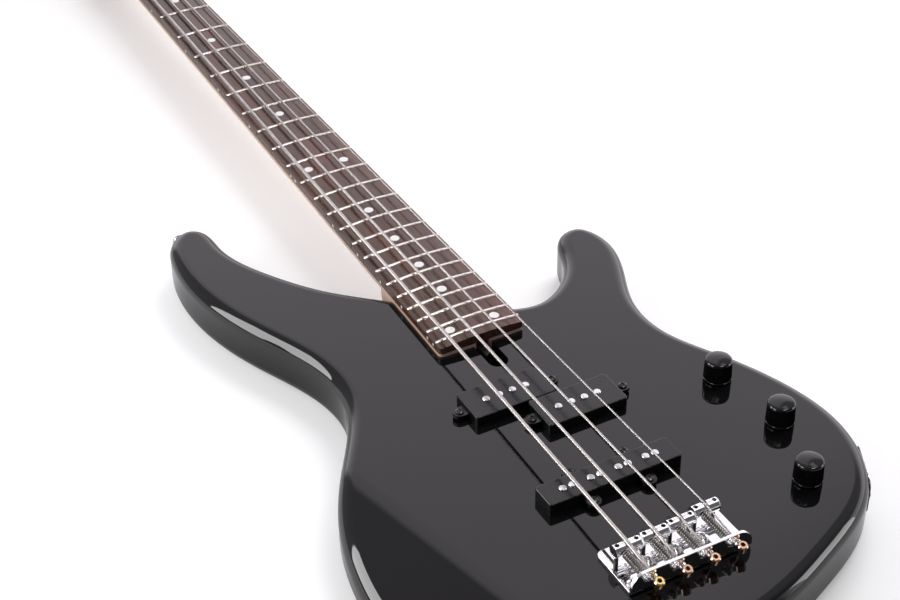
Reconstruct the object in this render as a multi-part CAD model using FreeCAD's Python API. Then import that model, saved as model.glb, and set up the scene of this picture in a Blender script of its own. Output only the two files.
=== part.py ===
import FreeCAD, Part
import math
import os
from FreeCAD import Vector

# Four string electric bass guitar lying on its back, lengths in mm.
# X to the treble side, Y up the neck from the scale line, Z out of the top from the flat back.

# Fits
FIT = 0.1
RUNNING_FIT = 0.06
AIR = 0.3
OVERRUN = 2.0

# Scale, strings
SCALE_LENGTH = 863.6
FRET_COUNT = 24
STRING_NAMES = ("e", "a", "d", "g")
STRING_RADIUS_E = 1.33
STRING_RADIUS_A = 1.08
STRING_RADIUS_D = 0.83
STRING_RADIUS_G = 0.57
STRING_RADII = (STRING_RADIUS_E, STRING_RADIUS_A, STRING_RADIUS_D, STRING_RADIUS_G)
BRIDGE_PITCH = 18.5
NUT_PITCH = 10.4
STRING_STEPS_SHARES = (-1.5, -0.5, 0.5, 1.5)
SADDLE_BEND_RADIUS = 5.0
NUT_BEND_RADIUS = 12.0

# Body
BODY_HALF_WIDTH = 160.0
BODY_LENGTH = 507.0
BODY_THICKNESS = 38.0
BODY_EDGE_SHARE = 0.65
TAIL_SETBACK = 76.0
BODY_OUTLINE_SHARES = (
    (-0.201, 0.719), (-0.383, 0.776), (-0.543, 0.851), (-0.642, 0.940), (-0.682, 0.993),
    (-0.737, 1.000), (-0.820, 0.986), (-0.871, 0.946), (-0.885, 0.878), (-0.785, 0.743), (-0.657, 0.641),
    (-0.638, 0.553), (-0.731, 0.486), (-0.904, 0.396), (-0.996, 0.298), (-1.000, 0.196),
    (-0.853, 0.082), (-0.556, 0.022), (-0.190, 0.000), (0.170, 0.010), (0.513, 0.050),
    (0.818, 0.109), (0.971, 0.219), (0.928, 0.320), (0.813, 0.406), (0.709, 0.480),
    (0.720, 0.558), (0.829, 0.640), (0.852, 0.700), (0.778, 0.736), (0.701, 0.734),
    (0.617, 0.688), (0.486, 0.632), (0.345, 0.611), (0.129, 0.637), (-0.062, 0.679),
)
OUTLINE_POINTS = 2000
ARM_RIDGE_SHARE = 0.6125
ARM_RIDGE_LEAN_ANGLE = 13.4
ARM_SLOPE_ANGLE = 15.0
ARM_ZONE_SHARES = (-0.375, 0.604)

# Neck and fingerboard
NUT_WIDTH = 40.0
BOARD_END_Y = 208.5
BOARD_END_WIDTH = 62.4
BOARD_THICKNESS = 6.4
BOARD_RADIUS = 254.0
BOARD_CORNER_RADIUS = 3.0
NECK_RISE = 2.3
NECK_DEPTH_AT_HEEL = 16.5
NECK_DEPTH_AT_NUT = 14.6
POCKET_DEPTH = 16.0
HEEL_END_SHARE = 0.7337
HEEL_CORNER_RADIUS = 4.0
HEEL_ROUND_RADIUS = 12.0
FRET_HEIGHT = 1.1
FRET_WIDTH = 2.5
FRET_TANG_WIDTH = 0.6
FRET_TANG_DEPTH = 2.2
FRET_INSET = 0.6
MARKER_RADIUS = 3.3
MARKER_DEPTH = 1.6
MARKER_FRETS = (3, 5, 7, 9, 15, 17, 19, 21)
DOUBLE_MARKER_FRETS = (12, 24)
SIDE_MARKER_RADIUS = 1.1
SIDE_MARKER_DEPTH = 1.5
SIDE_MARKER_SPREAD = 4.0
SIDE_MARKER_DROP = 4.2
NUT_LENGTH = 5.0
NUT_CROWN = 1.6

# Headstock
HEAD_DROP = 6.5
HEAD_THICKNESS = 14.0
HEAD_LENGTH = 186.0
HEAD_HALF_WIDTH = 41.0
HEAD_SHOULDER = 44.0
HEAD_COVE_RADIUS = 11.0
HEAD_CORNER_RADIUS = 22.0
HEAD_TIP_SHARE = 0.62
HEAD_CHAMFER = 5.6

# Truss rod
TRUSS_DROP = 6.0
TRUSS_WIDTH = 6.0
TRUSS_HEIGHT = 9.0
TRUSS_START_Y = 224.0
TRUSS_END_Y = 836.0
TRUSS_STUB_RADIUS = 2.5
TRUSS_NUT_RADIUS = 4.0
TRUSS_NUT_LENGTH = 14.0
TRUSS_NUT_REACH = 11.0
TRUSS_KEY_WIDTH = 5.0
TRUSS_KEY_DEPTH = 6.0
TRUSS_STUB_GAP = 2.0
TRUSS_NUT_WEB = 1.0
TRUSS_SLOT_WIDTH = 9.4
CHANNEL_WIDTH = 13.5
CHANNEL_LENGTH = 26.5
CHANNEL_DEPTH = 10.5

# Neck fixing
NECK_PLATE_WIDTH = 50.0
NECK_PLATE_LENGTH = 62.0
NECK_PLATE_THICKNESS = 2.0
NECK_PLATE_CORNER_RADIUS = 5.0
NECK_PLATE_GAP = 4.0
HEEL_BLOCK_MARGIN = 3.5
NECK_SCREW_INSET = 8.5
NECK_SCREW_RADIUS = 2.4
NECK_SCREW_LENGTH = 36.0
NECK_SCREW_HEAD_RADIUS = 4.6

# Wood screws shared by the small fittings
SCREW_RADIUS = 1.4
SCREW_HEAD_RADIUS = 2.8
SCREW_HEAD_HEIGHT = 1.7
SCREW_LENGTH = 13.0
CROSS_WIDTH = 0.7
CROSS_LENGTH_SHARE = 0.6
CROSS_DEPTH_SHARE = 0.55

# Strap buttons
BUTTON_LENGTH = 13.0
BUTTON_BASE_RADIUS = 7.5
BUTTON_WAIST_RADIUS = 4.5
BUTTON_RIM_RADIUS = 8.0
BUTTON_RIM_THICKNESS = 3.0
BUTTON_BASE_THICKNESS = 1.5
HORN_BUTTON_SHARE = 0.7375
BUTTON_SEAT_DEPTH = 1.6

# Bridge
PLATE_HALF_WIDTH = 40.0
PLATE_FRONT = 8.6
PLATE_REAR = 28.6
PLATE_THICKNESS = 2.0
PLATE_CORNER_RADIUS = 4.0
FLANGE_HEIGHT = 14.4
FLANGE_CORNER_RADIUS = 9.0
FLANGE_BEND_RADIUS = 3.0
MOUNTING_SCREW_RADIUS = 2.0
MOUNTING_SCREW_HEAD_RADIUS = 3.8
MOUNTING_SCREW_HEAD_HEIGHT = 2.6
MOUNTING_SCREW_LENGTH = 24.0
BRIDGE_SCREW_ROW = 11.0
BRIDGE_CORNER_SCREW_ROW = 22.6
BRIDGE_CORNER_SCREW_X = 34.6
SADDLE_RADIUS = 4.0
SADDLE_LENGTH = 16.9
SADDLE_HEIGHT = 11.3
SADDLE_GROOVE_WIDTH = 3.2
SADDLE_GROOVE_DEPTH = 1.2
SADDLE_SETBACK_E = 3.8
SADDLE_SETBACK_A = 3.0
SADDLE_SETBACK_D = 1.9
SADDLE_SETBACK_G = -0.7
SADDLE_SETBACKS = (SADDLE_SETBACK_E, SADDLE_SETBACK_A, SADDLE_SETBACK_D, SADDLE_SETBACK_G)
GRUB_RADIUS = 1.3
GRUB_SPREAD = 6.3
GRUB_HEIGHT = 11.0
GRUB_SOCKET_WIDTH = 1.3
GRUB_SOCKET_DEPTH = 2.0
INTONATION_OFFSET = 3.2
INTONATION_RADIUS = 1.3
INTONATION_HEAD_RADIUS = 2.7
INTONATION_HEAD_LENGTH = 2.6
INTONATION_TIP = 6.5
SPRING_RADIUS = 2.25
SPRING_WIRE_RADIUS = 0.3
SPRING_LEAST_PITCH = 1.05
SPRING_END_BEND = 0.7
GAP_POINTS = 7
GAP_REACH_SHARE = 8
STRING_HOLE_OFFSET = 2.2
STRING_HOLE_HEIGHT = 8.6
STRING_HOLE_RADIUS = 2.1
BALL_RADIUS = 3.2
BALL_HOLE_RADIUS = 1.4
BALL_LENGTH = 5.2
BALL_EDGE = 0.7

# Split pickup
SPLIT_LENGTH = 56.0
SPLIT_WIDTH = 27.4
SPLIT_BASS_X = -15.7
SPLIT_BASS_Y = 151.0
SPLIT_TREBLE_X = 19.4
SPLIT_TREBLE_Y = 123.2
SPLIT_RISE = 7.0
SPLIT_POLE_PITCH = 9.3
SPLIT_EAR_REACH = 4.6
SPLIT_EAR_RADIUS = 4.4

# Bar pickup
BAR_LENGTH = 91.0
BAR_WIDTH = 18.6
BAR_Y = 57.0
BAR_RISE = 8.4
BAR_POLE_PITCH = 19.0
BAR_POLE_PAIR = 6.5
BAR_EAR_X = 19.0
BAR_EAR_REACH = 4.4
BAR_EAR_RADIUS = 4.6

# Both pickups
PICKUP_SUNK = 9.5
PICKUP_WALL = 1.6
PICKUP_EDGE_RADIUS = 0.8
PICKUP_CORNER_RADIUS = 2.0
PICKUP_EAR_TOP = 4.4
PICKUP_EAR_THICKNESS = 2.6
PICKUP_POCKET_DEPTH = 17.0
POLE_RADIUS = 2.4
POLE_RISE = 0.8
POLE_EDGE = 0.4
COIL_SPACE = 2.2

# Controls
KNOB_SPOT_SHARES = ((0.694, 0.357), (0.747, 0.2515), (0.6375, 0.152))
KNOB_RADIUS = 9.0
KNOB_TOP_RADIUS = 8.5
KNOB_HEIGHT = 15.6
KNOB_DOME = 1.0
KNOB_LIFT = 0.6
KNOB_RIM = 1.2
KNOB_BORE_DEPTH = 11.0
KNOB_NUT_SPACE_RADIUS = 7.7
KNOB_NUT_SPACE_HEIGHT = 4.6
SHAFT_RADIUS = 3.0
SHAFT_RISE = 10.6
POT_RADIUS = 8.4
POT_HEIGHT = 9.0
BUSH_RADIUS = 4.7
POT_BUSH_RISE = 4.0
BUSH_NUT_WIDTH = 12.6
BUSH_NUT_HEIGHT = 2.2
POT_TERMINAL_WIDTH = 2.2
POT_TERMINAL_REACH = 4.0
POT_TERMINAL_THICKNESS = 0.9
POT_TERMINAL_PITCH = 4.6
CAVITY_TOP = 6.0
CAVITY_MARGIN = 13.0
CAVITY_CORNER_RADIUS = 10.0
COVER_LIP = 5.0
COVER_THICKNESS = 2.0
WIRE_RADIUS = 0.7
WIRE_BEND_RADIUS = 4.0
WIRE_DROP = 6.6

# Output jack on the treble side of the lower bout
JACK_SPOT_SHARES = (0.9096, 0.1532)
JACK_TURN_ANGLE = -26.6
JACK_FLAT_DEPTH = 1.6
JACK_PLATE_WIDTH = 38.0
JACK_PLATE_HEIGHT = 24.0
JACK_PLATE_THICKNESS = 1.8
JACK_PLATE_CORNER_RADIUS = 5.0
JACK_SCREW_SPREAD = 14.0
JACK_BORE_RADIUS = 9.0
JACK_BORE_DEPTH = 36.0
JACK_HOLE_RADIUS = 3.25
JACK_BARREL_LENGTH = 26.0
JACK_BARREL_RADIUS = 7.0
JACK_END_WALL = 2.0
JACK_NUT_PROUD = 1.0

# Tuners, a worm on the key shaft turning a wheel on the post
NEAR_TUNER_Y = 58.0
FAR_TUNER_Y = 120.0
TUNER_X = 25.0
POST_RADIUS = 5.5
POST_WAIST_RADIUS = 4.2
POST_WAIST_LOW = 3.5
POST_WAIST_HIGH = 13.5
POST_RISE = 17.0
POST_SLOT_WIDTH = 3.0
POST_SLOT_DEPTH = 5.0
BUSHING_RADIUS = 7.2
BUSHING_FLANGE_RADIUS = 9.4
BUSHING_FLANGE_HEIGHT = 1.6
GEAR_MODULE = 0.8
GEAR_TEETH = 16
WORM_PITCH_RADIUS = 2.8
GEAR_TOOTH_WIDTH = 0.7
GEAR_TOOTH_TAPER_SHARE = 0.36
GEAR_ROOT = 1.1
GEAR_THICKNESS = 3.5
WORM_TURNS = 3.5
HOUSING_HEIGHT = 11.6
HOUSING_WALL = 1.5
HOUSING_ROOM = 0.7
HOUSING_LUG = 7.0
HOUSING_SCREW_SPREAD = 5.4
HOUSING_CORNER_RADIUS = 3.0
KEY_SHAFT_RADIUS = 2.5
KEY_SHAFT_REACH = 24.0
KEY_LENGTH = 17.0
KEY_HALF_HEIGHT = 11.0
KEY_THICKNESS = 5.6
KEY_COLLAR_RADIUS = 4.2
KEY_COLLAR_LENGTH = 4.0
KEY_EDGE_RADIUS = 1.6
STRING_WRAPS = 2
STRING_WRAP_GAP = 0.5
STRING_WRAP_TOP = 12.0

# Heights and places that follow from the values above
TOP_Z = BODY_THICKNESS
SEAT_Z = TOP_Z + NECK_RISE
BOARD_Z = SEAT_Z + BOARD_THICKNESS
FRET_Z = BOARD_Z + FRET_HEIGHT
POCKET_Z = TOP_Z - POCKET_DEPTH
HEAD_TOP_Z = SEAT_Z - HEAD_DROP
HEAD_BACK_Z = HEAD_TOP_Z - HEAD_THICKNESS
TRUSS_Z = SEAT_Z - TRUSS_DROP
SADDLE_Z = TOP_Z + SADDLE_HEIGHT
STRING_SEAT_Z = SADDLE_Z + SADDLE_RADIUS - SADDLE_GROOVE_DEPTH + 2 * FIT
STRING_HOLE_Z = TOP_Z + STRING_HOLE_HEIGHT
NUT_Y = SCALE_LENGTH
HEAD_Y = NUT_Y + NUT_LENGTH
HEEL_END_Y = HEEL_END_SHARE * BODY_LENGTH - TAIL_SETBACK
ARM_RIDGE_X = -ARM_RIDGE_SHARE * BODY_HALF_WIDTH
KNOB_SPOTS = [(a * BODY_HALF_WIDTH, b * BODY_LENGTH - TAIL_SETBACK) for a, b in KNOB_SPOT_SHARES]
X_AXIS = Vector(1, 0, 0)
Y_AXIS = Vector(0, 1, 0)
Z_AXIS = Vector(0, 0, 1)


def save(name, solids):
    shape = solids[0] if len(solids) == 1 else Part.makeCompound(solids)
    shape.exportStep("parts/" + name + ".step")


def box(low, high):
    size = high - low
    return Part.makeBox(size.x, size.y, size.z, low)


def rod(start, direction, radius, length):
    return Part.makeCylinder(radius, length, start, direction)


def rounded_loop(corners, radii):
    # Straight sides with a tangent arc at each corner.
    edges = []
    ends = []
    count = len(corners)
    for i in range(count):
        here = corners[i]
        back = (corners[i - 1] - here).normalize()
        on = (corners[(i + 1) % count] - here).normalize()
        if radii[i] == 0:
            ends.append((here, here, here))
            continue
        half = back.getAngle(on) / 2
        run = radii[i] / math.tan(half)
        middle = (back + on).normalize() * (radii[i] / math.sin(half) - radii[i])
        ends.append((here + back * run, here + middle, here + on * run))
    for i in range(count):
        first, middle, last = ends[i]
        if radii[i]:
            edges.append(Part.Arc(first, middle, last).toShape())
        following = ends[(i + 1) % count][0]
        if (following - last).Length > FIT / count:
            edges.append(Part.makeLine(last, following))
    return Part.Wire(edges)


def rectangle(centre, length, width, radius):
    half_x = X_AXIS * (length / 2)
    half_y = Y_AXIS * (width / 2)
    corners = [centre - half_x - half_y, centre + half_x - half_y]
    corners += [centre + half_x + half_y, centre - half_x + half_y]
    return rounded_loop(corners, [radius] * len(corners))


def prism(loop, height):
    return Part.Face(loop).extrude(Z_AXIS * height)


def turned(profile, centre, axis):
    # Solid of revolution from (radius, height) corners about an axis through centre.
    points = [Vector(r, 0, h) for r, h in profile]
    face = Part.Face(Part.makePolygon(points + points[:1]))
    shape = face.revolve(Vector(0, 0, 0), Z_AXIS, 360)
    shape.Placement = FreeCAD.Placement(centre, FreeCAD.Rotation(Z_AXIS, axis))
    return shape


def hexagon(centre, axis, width, height):
    radius = width / math.sqrt(3)
    sixth = 2 * math.pi / 6
    points = [Vector(radius * math.cos(k * sixth), radius * math.sin(k * sixth), 0) for k in range(6)]
    solid = Part.Face(Part.makePolygon(points + points[:1])).extrude(Z_AXIS * height)
    solid.Placement = FreeCAD.Placement(centre, FreeCAD.Rotation(Z_AXIS, axis))
    return solid


def cross_recess(head_radius, head_top, depth):
    reach = head_radius * CROSS_LENGTH_SHARE
    low = Vector(-reach, -CROSS_WIDTH / 2, head_top - depth)
    bar = box(low, Vector(reach, CROSS_WIDTH / 2, head_top + OVERRUN))
    cross = bar.copy()
    cross.rotate(Vector(0, 0, 0), Z_AXIS, 90)
    return bar.fuse(cross)


def screw(seat, outward, radius, length, head_radius, head_height):
    # Pan head screw: seat is the point under the head, outward points from shank to head.
    profile = [(0, -length), (radius / 2, -length), (radius, -length + 2 * radius), (radius, 0)]
    profile += [(head_radius, 0), (head_radius, head_height / 2)]
    profile += [(head_radius / 2, head_height), (0, head_height)]
    body = turned(profile, Vector(0, 0, 0), Z_AXIS)
    body = body.cut(cross_recess(head_radius, head_height, head_height * CROSS_DEPTH_SHARE))
    body.Placement = FreeCAD.Placement(seat, FreeCAD.Rotation(Z_AXIS, outward))
    return body


def sunk_screw(seat, outward, radius, length, head_radius):
    # Countersunk screw whose flat head ends level with seat.
    slope = head_radius - radius
    profile = [(0, -length), (radius / 2, -length), (radius, -length + 2 * radius), (radius, -slope)]
    profile += [(head_radius, 0), (0, 0)]
    body = turned(profile, Vector(0, 0, 0), Z_AXIS)
    body = body.cut(cross_recess(head_radius, 0, slope * CROSS_DEPTH_SHARE))
    body.Placement = FreeCAD.Placement(seat, FreeCAD.Rotation(Z_AXIS, outward))
    return body


def sunk_hole(seat, outward, radius, length, head_radius):
    slope = head_radius - radius
    reach = head_radius + FIT
    profile = [(0, -length - FIT), (radius + FIT, -length - FIT), (radius + FIT, -slope - FIT)]
    profile += [(reach, 0), (reach, OVERRUN), (0, OVERRUN)]
    return turned(profile, seat, outward)


def bent_path(points, radii):
    # Straight runs joined by tangent arcs at the inner points.
    edges = []
    last = points[0]
    for i in range(1, len(points) - 1):
        here = points[i]
        back = (points[i - 1] - here).normalize()
        on = (points[i + 1] - here).normalize()
        half = back.getAngle(on) / 2
        run = radii[i - 1] / math.tan(half)
        middle = here + (back + on).normalize() * (radii[i - 1] / math.sin(half) - radii[i - 1])
        edges.append(Part.makeLine(last, here + back * run))
        edges.append(Part.Arc(here + back * run, middle, here + on * run).toShape())
        last = here + on * run
    edges.append(Part.makeLine(last, points[-1]))
    return edges


def tangent_arc(start, knee, end):
    weight = math.cos((knee - start).getAngle(end - start))
    middle = (start + knee * (2 * weight) + end) * (1 / (2 + 2 * weight))
    return Part.Arc(start, middle, end).toShape()


def biarc(start, leave, end, arrive):
    # Two arcs from start to end with the given unit directions.
    across = end - start
    both = leave + arrive
    turn = 1 - leave.dot(arrive)
    lean = across.dot(both)
    reach = (math.sqrt(lean * lean + 2 * turn * across.dot(across)) - lean) / (2 * turn)
    first = start + leave * reach
    second = end - arrive * reach
    joint = (first + second) * 0.5
    return [tangent_arc(start, first, joint), tangent_arc(joint, second, end)]


def coil_stations(centre, axis, side, radius, turns, pitch, sense):
    # Points and unit directions at each quarter turn of a coil round axis.
    other = axis.cross(side)
    stations = []
    for k in range(4 * turns + 1):
        angle = sense * k * math.pi / 2
        spoke = side * math.cos(angle) + other * math.sin(angle)
        point = centre + spoke * radius + axis * (pitch * k / 4)
        along = axis.cross(spoke) * (sense * 2 * math.pi * radius) + axis * pitch
        stations.append((point, along.normalize()))
    return stations


def coil_edges(stations):
    edges = []
    for (start, leave), (end, arrive) in zip(stations, stations[1:]):
        edges += biarc(start, leave, end, arrive)
    return edges


def tube(edges, radius):
    path = Part.Wire(edges)
    start = edges[0].valueAt(edges[0].FirstParameter)
    along = edges[0].tangentAt(edges[0].FirstParameter)
    ring = Part.Wire([Part.makeCircle(radius, start, along)])
    return path.makePipeShell([ring], True, False)


def least_gap(edges, radius):
    # Least clear distance of a wound tube to itself, measured on points along its line.
    points = [point for edge in edges for point in edge.discretize(GAP_POINTS)[1:]]
    runs = [0]
    for before, after in zip(points, points[1:]):
        runs.append(runs[-1] + (after - before).Length)
    least = runs[-1]
    for i, here in enumerate(points):
        for k in range(i):
            if runs[i] - runs[k] > GAP_REACH_SHARE * radius:
                least = min(least, (here - points[k]).Length)
    return least - 2 * radius


def fret_y(number):
    return SCALE_LENGTH * 2 ** (-number / 12)


def half_width_at(y):
    share = (y - BOARD_END_Y) / (NUT_Y - BOARD_END_Y)
    return (BOARD_END_WIDTH + (NUT_WIDTH - BOARD_END_WIDTH) * share) / 2


def taper_loop(near_y, far_y, z, radius, grow):
    near = half_width_at(near_y) + grow
    far = half_width_at(far_y) + grow
    low = near_y - grow
    corners = [Vector(-near, low, z), Vector(near, low, z), Vector(far, far_y, z), Vector(-far, far_y, z)]
    return rounded_loop(corners, [radius, radius, 0, 0])


def string_x(index, y):
    share = y / SCALE_LENGTH
    return STRING_STEPS_SHARES[index] * (BRIDGE_PITCH + (NUT_PITCH - BRIDGE_PITCH) * share)


def saddle_centre(index):
    return Vector(STRING_STEPS_SHARES[index] * BRIDGE_PITCH, -SADDLE_SETBACKS[index], SADDLE_Z)


def flat_point(share_x, share_y, z):
    return Vector(share_x * BODY_HALF_WIDTH, share_y * BODY_LENGTH - TAIL_SETBACK, z)


def body_outline():
    curve = Part.BSplineCurve()
    curve.interpolate(Points=[flat_point(a, b, 0) for a, b in BODY_OUTLINE_SHARES], PeriodicFlag=True)
    return curve


def body_slab(height):
    return prism(Part.Wire([body_outline().toShape()]), height)


def edge_radius():
    # The rounded edge stays inside the tightest bend of the outline.
    curve = body_outline()
    step = (curve.LastParameter - curve.FirstParameter) / OUTLINE_POINTS
    bends = [curve.curvature(curve.FirstParameter + k * step) for k in range(OUTLINE_POINTS)]
    return BODY_EDGE_SHARE / max(bends)


def rounded_slab():
    slab = body_slab(BODY_THICKNESS)
    rims = [e for e in slab.Edges if abs(e.BoundBox.ZMax - e.BoundBox.ZMin) < FIT]
    return slab.makeFillet(edge_radius(), rims)


def crosses_ridge(reach):
    return reach.ZMin > FIT and reach.XMin < ARM_RIDGE_X < reach.XMax


def arm_cut():
    # What leaves the bass side lower bout for the player's arm: all above a leaning, rounded plane.
    low = Vector(-2 * BODY_HALF_WIDTH, -2 * TAIL_SETBACK, 0)
    zone = box(low, flat_point(*ARM_ZONE_SHARES, 2 * BODY_THICKNESS))
    lean = math.radians(ARM_RIDGE_LEAN_ANGLE)
    along = Vector(-math.sin(lean), math.cos(lean), 0) * BODY_LENGTH
    slope = math.radians(ARM_SLOPE_ANGLE)
    down = Z_AXIS.cross(along) * math.cos(slope) - Z_AXIS * (math.sin(slope) * BODY_LENGTH)
    ridge = Vector(ARM_RIDGE_X, 0, TOP_Z)
    corners = [ridge - along - down, ridge + along - down, ridge + along + down, ridge - along + down]
    above = Part.Face(Part.makePolygon(corners + corners[:1])).extrude(Z_AXIS * BODY_LENGTH)
    kept = body_slab(2 * BODY_THICKNESS).common(zone).cut(above)
    rim = [e for e in kept.Edges if crosses_ridge(e.BoundBox)]
    kept = kept.makeFillet(edge_radius(), rim)
    return zone.cut(kept)


def neck_pocket():
    loop = taper_loop(BOARD_END_Y, HEEL_END_Y, POCKET_Z, HEEL_CORNER_RADIUS, FIT)
    return prism(loop, POCKET_DEPTH + OVERRUN)


def truss_channel():
    low = BOARD_END_Y - CHANNEL_LENGTH
    half = CHANNEL_WIDTH / 2
    centre = Vector(0, low + half, TOP_Z - CHANNEL_DEPTH)
    trench = box(centre - X_AXIS * half, Vector(half, BOARD_END_Y + OVERRUN, TOP_Z + OVERRUN))
    return trench.fuse(rod(centre, Z_AXIS, half, CHANNEL_DEPTH + OVERRUN))


def cavity_loop(z, margin, radius):
    first, second, third = [Vector(x, y, z) for x, y in KNOB_SPOTS]
    grow = CAVITY_MARGIN + margin
    corners = [third + Vector(-grow, -grow, 0), third + Vector(grow, -grow, 0)]
    corners += [Vector(second.x + grow, second.y, z), first + Vector(grow, grow, 0)]
    corners.append(first + Vector(-grow, grow, 0))
    return rounded_loop(corners, [radius] * len(corners))


def jack_frame():
    # Placement on the side wall: local Z points out of the body, local X along the edge.
    turn = math.radians(JACK_TURN_ANGLE)
    out = Vector(math.cos(turn), math.sin(turn), 0)
    along = Z_AXIS.cross(out)
    seat = flat_point(*JACK_SPOT_SHARES, BODY_THICKNESS / 2) - out * JACK_FLAT_DEPTH
    return FreeCAD.Placement(seat, FreeCAD.Rotation(along, Z_AXIS, out, "ZXY"))


def on_side(shape):
    shape.Placement = jack_frame().multiply(shape.Placement)
    return shape


def jack_plate_loop(grow):
    length = JACK_PLATE_WIDTH + 2 * grow
    return rectangle(Vector(0, 0, 0), length, JACK_PLATE_HEIGHT + 2 * grow, JACK_PLATE_CORNER_RADIUS)


def jack_cuts():
    flat = prism(jack_plate_loop(FIT), JACK_PLATE_WIDTH)
    bore = rod(Vector(0, 0, -JACK_BORE_DEPTH), Z_AXIS, JACK_BORE_RADIUS, JACK_BORE_DEPTH + OVERRUN)
    cuts = [on_side(flat), on_side(bore)]
    for side in (-1, 1):
        start = Vector(side * JACK_SCREW_SPREAD, 0, -SCREW_LENGTH - FIT)
        cuts.append(on_side(rod(start, Z_AXIS, SCREW_RADIUS + FIT, SCREW_LENGTH + OVERRUN)))
    return cuts


def split_centres():
    return [Vector(SPLIT_BASS_X, SPLIT_BASS_Y, TOP_Z), Vector(SPLIT_TREBLE_X, SPLIT_TREBLE_Y, TOP_Z)]


def bar_centre():
    return Vector(0, BAR_Y, TOP_Z)


def split_ear_spots(centre):
    reach = SPLIT_LENGTH / 2 + SPLIT_EAR_REACH
    return [centre - X_AXIS * reach, centre + X_AXIS * reach]


def bar_ear_spots():
    reach = BAR_WIDTH / 2 + BAR_EAR_REACH
    centre = bar_centre()
    return [centre + Vector(side * BAR_EAR_X, way * reach, 0) for side in (-1, 1) for way in (-1, 1)]


def pickup_ear_spots():
    spots = []
    for centre in split_centres():
        spots += split_ear_spots(centre)
    return spots + bar_ear_spots()


def pickup_pockets():
    pockets = []
    sizes = [(centre, SPLIT_LENGTH, SPLIT_WIDTH) for centre in split_centres()]
    sizes.append((bar_centre(), BAR_LENGTH, BAR_WIDTH))
    for centre, length, width in sizes:
        low = centre - Z_AXIS * PICKUP_POCKET_DEPTH
        loop = rectangle(low, length + 2 * FIT, width + 2 * FIT, PICKUP_CORNER_RADIUS)
        pockets.append(prism(loop, PICKUP_POCKET_DEPTH + OVERRUN))
    sunk = SCREW_LENGTH - PICKUP_EAR_TOP + FIT
    for spot in pickup_ear_spots():
        pockets.append(rod(spot - Z_AXIS * sunk, Z_AXIS, SCREW_RADIUS + FIT, sunk + OVERRUN))
    return pockets


def bridge_screw_spots():
    z = TOP_Z + PLATE_THICKNESS
    spots = [Vector(k * BRIDGE_PITCH, -BRIDGE_SCREW_ROW, z) for k in (-1, 0, 1)]
    return spots + [Vector(side * BRIDGE_CORNER_SCREW_X, -BRIDGE_CORNER_SCREW_ROW, z) for side in (-1, 1)]


def neck_plate_centre():
    return Vector(0, BOARD_END_Y + NECK_PLATE_GAP + NECK_PLATE_WIDTH / 2, 0)


def neck_screw_spots():
    across = NECK_PLATE_LENGTH / 2 - NECK_SCREW_INSET - NECK_PLATE_CORNER_RADIUS
    along = NECK_PLATE_WIDTH / 2 - NECK_SCREW_INSET
    centre = neck_plate_centre()
    return [centre + Vector(a * across, b * along, 0) for a in (-1, 1) for b in (-1, 1)]


def neck_plate_loop(grow, z):
    centre = neck_plate_centre() + Z_AXIS * z
    length = NECK_PLATE_LENGTH - 2 * NECK_PLATE_CORNER_RADIUS + 2 * grow
    return rectangle(centre, length, NECK_PLATE_WIDTH + 2 * grow, NECK_PLATE_CORNER_RADIUS)


def heel_block():
    # Body wood left under the neck between the cutaways, so that the whole plate bears on it.
    return prism(neck_plate_loop(HEEL_BLOCK_MARGIN, 0), TOP_Z)


def cover_screw_spots():
    first, second, third = [Vector(x, y, 0) for x, y in KNOB_SPOTS]
    reach = CAVITY_MARGIN + COVER_LIP / 2 - SCREW_RADIUS / 2
    corner = reach - CAVITY_CORNER_RADIUS / 2 + SCREW_RADIUS
    spots = [third + Vector(-corner, -corner, 0), third + Vector(corner, -corner, 0)]
    spots += [first + Vector(corner, corner, 0), first + Vector(-corner, corner, 0)]
    return spots


def strap_seats():
    horn = flat_point(-HORN_BUTTON_SHARE, 1, BODY_THICKNESS / 2) - Y_AXIS * BUTTON_SEAT_DEPTH
    tail = Vector(0, BUTTON_SEAT_DEPTH - TAIL_SETBACK, BODY_THICKNESS / 2)
    return [(horn, Y_AXIS), (tail, Y_AXIS * -1)]


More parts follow.
